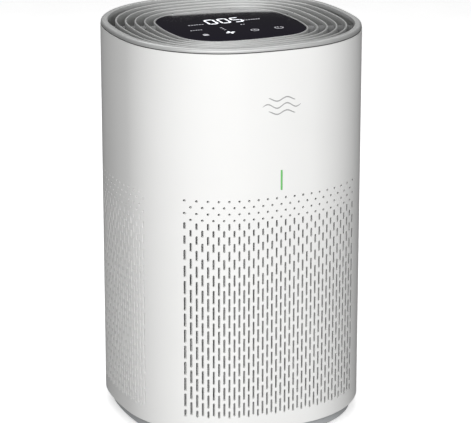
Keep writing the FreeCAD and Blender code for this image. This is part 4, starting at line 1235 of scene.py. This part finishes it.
@dataclass
class FilterCartridge:
    """The cylindrical filter: pleated paper and the net round it.

    Args:
        pleats: number of pleats.
        paper: thickness of the folded paper across the pleat.
        strands: upright strands of the net.
        mesh_step: distance between the net's hoops.
        strand: thickness of a strand.
    """

    pleats: int = 96
    paper: float = 0.9
    strands: int = 220
    mesh_step: float = 2.7
    strand: float = 0.5

    def __post_init__(self) -> None:
        """Reads the room that the CAD media and mesh take."""
        self.low, self.high = lowest("pleated_media", 2), highest("pleated_media", 2)
        self.outer = highest("pleated_media", 0)
        self.inner = highest("carbon_layer", 0) + 0.2
        self.net_outer = highest("prefilter_mesh", 0)

    def build(self) -> None:
        """Makes the pleats and the net and puts them on the cartridge."""
        self._pleats()
        place(self._net(), "filter_cartridge", "mesh_grey", ["prefilter_mesh"])

    def _pleats(self) -> None:
        """Paper folded in and out between the two radii, as one closed sheet with thickness."""
        shape = bmesh.new()
        folds = self.pleats * 2

        def fold(shift: float) -> list[Point]:
            """The zigzag of the paper, moved inwards by a shift."""
            radii = [self.outer - 0.2 - shift if k % 2 else self.inner + self.paper + 0.2 - shift for k in range(folds)]
            return [turned((radius, 0.0), 2 * math.pi * k / folds) for k, radius in enumerate(radii)]

        levels = [self.low + 0.1, self.high - 0.1]
        corners = [(0.0, levels[0]), (0.0, levels[1]), (self.paper, levels[1]), (self.paper, levels[0])]
        swept(shape, corners, fold)
        place(dress(finished("folded_paper", shape, 20), MEDIA), "filter_cartridge", "filter_media", ["pleated_media"])

    def _net(self) -> bpy.types.Object:
        """The net, grown by a tree from upright strands and hoops."""
        group = new_group(
            "cylinder_net", "GeometryNodeTree",
            {"Radius": ("NodeSocketFloat", 0.09), "Low": ("NodeSocketFloat", 0.0), "High": ("NodeSocketFloat", 0.2),
             "Strands": ("NodeSocketInt", 200), "Hoops": ("NodeSocketInt", 70),
             "Thickness": ("NodeSocketFloat", 0.0005), "Finish": ("NodeSocketMaterial", None)},
            ["Net"], "NodeSocketGeometry",
        )
        start, calc = group.start, group.math
        thick = group.add("GeometryNodeCurvePrimitiveCircle", {
            "Resolution": 4, "Radius": calc("DIVIDE", start["Thickness"], 2.0),
        })
        tall = calc("SUBTRACT", start["High"], start["Low"])
        line = group.add("GeometryNodeCurvePrimitiveLine", {"Start": group.vector(0.0, 0.0, start["Low"]),
                                                           "End": group.vector(0.0, 0.0, start["High"])})
        upright = group.add("GeometryNodeCurveToMesh", {"Curve": line.outputs[0], "Profile Curve": thick.outputs[0],
                                                        "Fill Caps": True})
        index = group.add("GeometryNodeInputIndex").outputs[0]
        angle = calc("MULTIPLY", index, calc("DIVIDE", 2 * math.pi, start["Strands"]))
        inner = calc("SUBTRACT", start["Radius"], calc("MULTIPLY", start["Thickness"], 0.45))
        spots = group.add("GeometryNodePoints", {"Count": start["Strands"], "Position": group.vector(
            calc("MULTIPLY", calc("COSINE", angle), inner), calc("MULTIPLY", calc("SINE", angle), inner), 0.0)})
        uprights = group.add("GeometryNodeInstanceOnPoints", {
            "Points": spots.outputs[0], "Instance": upright.outputs[0], "Rotation": group.vector(0.0, 0.0, angle)})
        hoop_line = group.add("GeometryNodeCurvePrimitiveCircle", {"Resolution": 110, "Radius": start["Radius"]})
        hoop = group.add("GeometryNodeCurveToMesh", {"Curve": hoop_line.outputs[0], "Profile Curve": thick.outputs[0]})
        gap = calc("DIVIDE", tall, calc("SUBTRACT", start["Hoops"], 1.0))
        level = calc("ADD", start["Low"], calc("MULTIPLY", index, gap))
        levels = group.add("GeometryNodePoints", {"Count": start["Hoops"], "Position": group.vector(0.0, 0.0, level)})
        hoops = group.add("GeometryNodeInstanceOnPoints", {"Points": levels.outputs[0], "Instance": hoop.outputs[0]})
        join = group.add("GeometryNodeJoinGeometry")
        for part in (uprights, hoops):
            group.tree.links.new(part.outputs[0], join.inputs[0])
        tree = group.give_dressed("Net", join.outputs[0])
        radius = (self.net_outer - self.strand / 2 - 0.1) * MM
        return grown("filter_net", tree, {
            "Radius": radius, "Low": (self.low + 0.5) * MM, "High": (self.high - 0.5) * MM, "Strands": self.strands,
            "Hoops": int((self.high - self.low) / self.mesh_step), "Thickness": self.strand * MM, "Finish": NET.build(),
        })


# ------------------------------------------------------------------ carried CAD pieces, stage and camera

def dress_carried() -> None:
    """Gives every CAD node that still shows the finish of its material slot."""
    for name, node in sorted(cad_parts.items()):
        if node.hide_render:
            continue
        slot = next((s.material.name for s in node.material_slots if s.material), "")
        finish = SLOT_FINISHES.get(slot.split(".")[0])
        if finish is None:
            LOG.warning("%s has no known slot: %s", name, slot)
            continue
        for holder in node.material_slots:
            holder.material = finish.build()
        LOG.info("%s wears %s", name, finish.name)


@dataclass(frozen=True)
class Lamp:
    """A soft rectangular lamp.

    Args:
        name: the lamp's name.
        spot: its place in metres.
        aim: the point it looks at.
        size: its width and height in metres.
        power: its power in watts.
    """

    name: str
    spot: Place
    aim: Place
    size: Point
    power: float

    def build(self) -> None:
        """Adds the lamp to the scene."""
        data = bpy.data.lights.new(self.name, "AREA")
        data.shape = "RECTANGLE"
        data.size, data.size_y = self.size
        data.energy = self.power
        lamp = bpy.data.objects.new(self.name, data)
        lamp.location = self.spot
        lamp.rotation_euler = (Vector(self.aim) - Vector(self.spot)).to_track_quat("-Z", "Y").to_euler()
        bpy.context.scene.collection.objects.link(lamp)


# A broad key in front, and a softer lamp high up behind that lights the rings.
KEY_LAMP = Lamp("key_lamp", (-0.95, -2.5, 1.25), (0.0, 0.0, 0.2), (4.4, 1.8), 94.0)
TOP_LAMP = Lamp("top_lamp", (0.2, 0.85, 1.9), (0.0, 0.0, 0.35), (1.6, 1.2), 20.0)


@dataclass
class Studio:
    """Pale floor, soft lamps and the camera.

    Args:
        place: the camera's place in metres.
        target: the point the camera looks at.
        lens: focal length for a 36 mm wide sensor.
        shift: the frame's shift across and up.
        reach: how far behind the tower the floor starts to rise, in millimetres, as are the rest.
        bend: radius of the rise.
        tall: height of the backdrop.
        spread: half width of the floor, and how far it comes forward.
        glow_way: the direction in which the surroundings are palest.
        glow_span: share of that direction where the fade starts and ends.
        glow_range: strength of the surroundings at the two ends of the fade.
    """

    place: Place = (-0.8831, -2.0693, 0.8991)
    target: Place = (0.0, 0.0, 0.24866)
    lens: float = 177.0
    shift: Point = (0.0103, -0.0921)
    reach: float = 2600.0
    bend: float = 1200.0
    tall: float = 3600.0
    spread: float = 6000.0
    glow_way: Place = (-0.35, -0.90, 0.25)
    glow_span: Point = (-0.45, 0.75)
    glow_range: Point = (0.03, 0.46)

    def build(self) -> None:
        """Makes the floor, the lamps, the pale surroundings and the camera, in that order."""
        self._floor()
        KEY_LAMP.build()
        TOP_LAMP.build()
        self._world()
        self._camera()

    def _floor(self) -> None:
        """A wide floor that rises into a backdrop behind the tower."""
        shape = bmesh.new()
        bend, reach = self.bend, self.reach
        way = Vector((-self.place[0], -self.place[1], 0.0)).normalized()
        side = Vector((-way.y, way.x, 0.0))
        line = [(-self.spread, 0.0), (reach, 0.0)]
        line += [(reach + bend * math.sin(a), bend * (1 - math.cos(a))) for a in quarter(14)[1:]]
        line += [(reach + bend, self.tall)]
        rows = [
            [shape.verts.new(way * along + side * across + Vector((0, 0, level - 0.2)))
             for across in (-self.spread, self.spread)]
            for along, level in line
        ]
        for low, high in zip(rows, rows[1:]):
            shape.faces.new((low[0], low[1], high[1], high[0]))
        floor = dress(finished("studio_floor", shape, 60), FLOOR_PALE)
        floor.visible_diffuse = False
        floor.visible_glossy = False

    def _world(self) -> None:
        """Surroundings that are pale in front and fall off behind, so that the tower's edges darken."""
        world = bpy.data.worlds.new("pale_room")
        world.use_nodes = True
        wiring = Wiring(world.node_tree)
        way = wiring.add("ShaderNodeTexCoord").outputs["Generated"]
        front = wiring.add("ShaderNodeVectorMath", {0: way, 1: self.glow_way}, operation="DOT_PRODUCT")
        fade = wiring.add("ShaderNodeMapRange", {
            "Value": front.outputs["Value"], "From Min": self.glow_span[0], "From Max": self.glow_span[1],
            "To Min": self.glow_range[0], "To Max": self.glow_range[1],
        }, interpolation_type="SMOOTHSTEP")
        shade = world.node_tree.nodes["Background"].inputs
        shade["Color"].default_value = (1.0, 1.0, 1.0, 1.0)
        world.node_tree.links.new(fade.outputs[0], shade["Strength"])
        bpy.context.scene.world = world

    def _camera(self) -> None:
        """The camera, level and aimed at the tower."""
        data = bpy.data.cameras.new("front_camera")
        data.lens = self.lens
        data.sensor_width = 36.0
        data.shift_x, data.shift_y = self.shift
        data.clip_end = 50.0
        camera = bpy.data.objects.new("front_camera", data)
        camera.location = self.place
        camera.rotation_euler = (Vector(self.target) - Vector(self.place)).to_track_quat("-Z", "Y").to_euler()
        bpy.context.scene.collection.objects.link(camera)
        bpy.context.scene.camera = camera
        bpy.context.scene.view_settings.view_transform = "Standard"


def main() -> None:
    """Builds the purifier's pieces in order, dresses what the frame carries and sets up the studio."""
    logging.basicConfig(level=logging.INFO, format="%(name)s: %(message)s")
    for part in (Casing(), Top(), FilterCartridge()):
        part.build()
        LOG.info("%s is built", type(part).__name__)
    dress_carried()
    Studio().build()


if __name__ == "__main__":
    main()
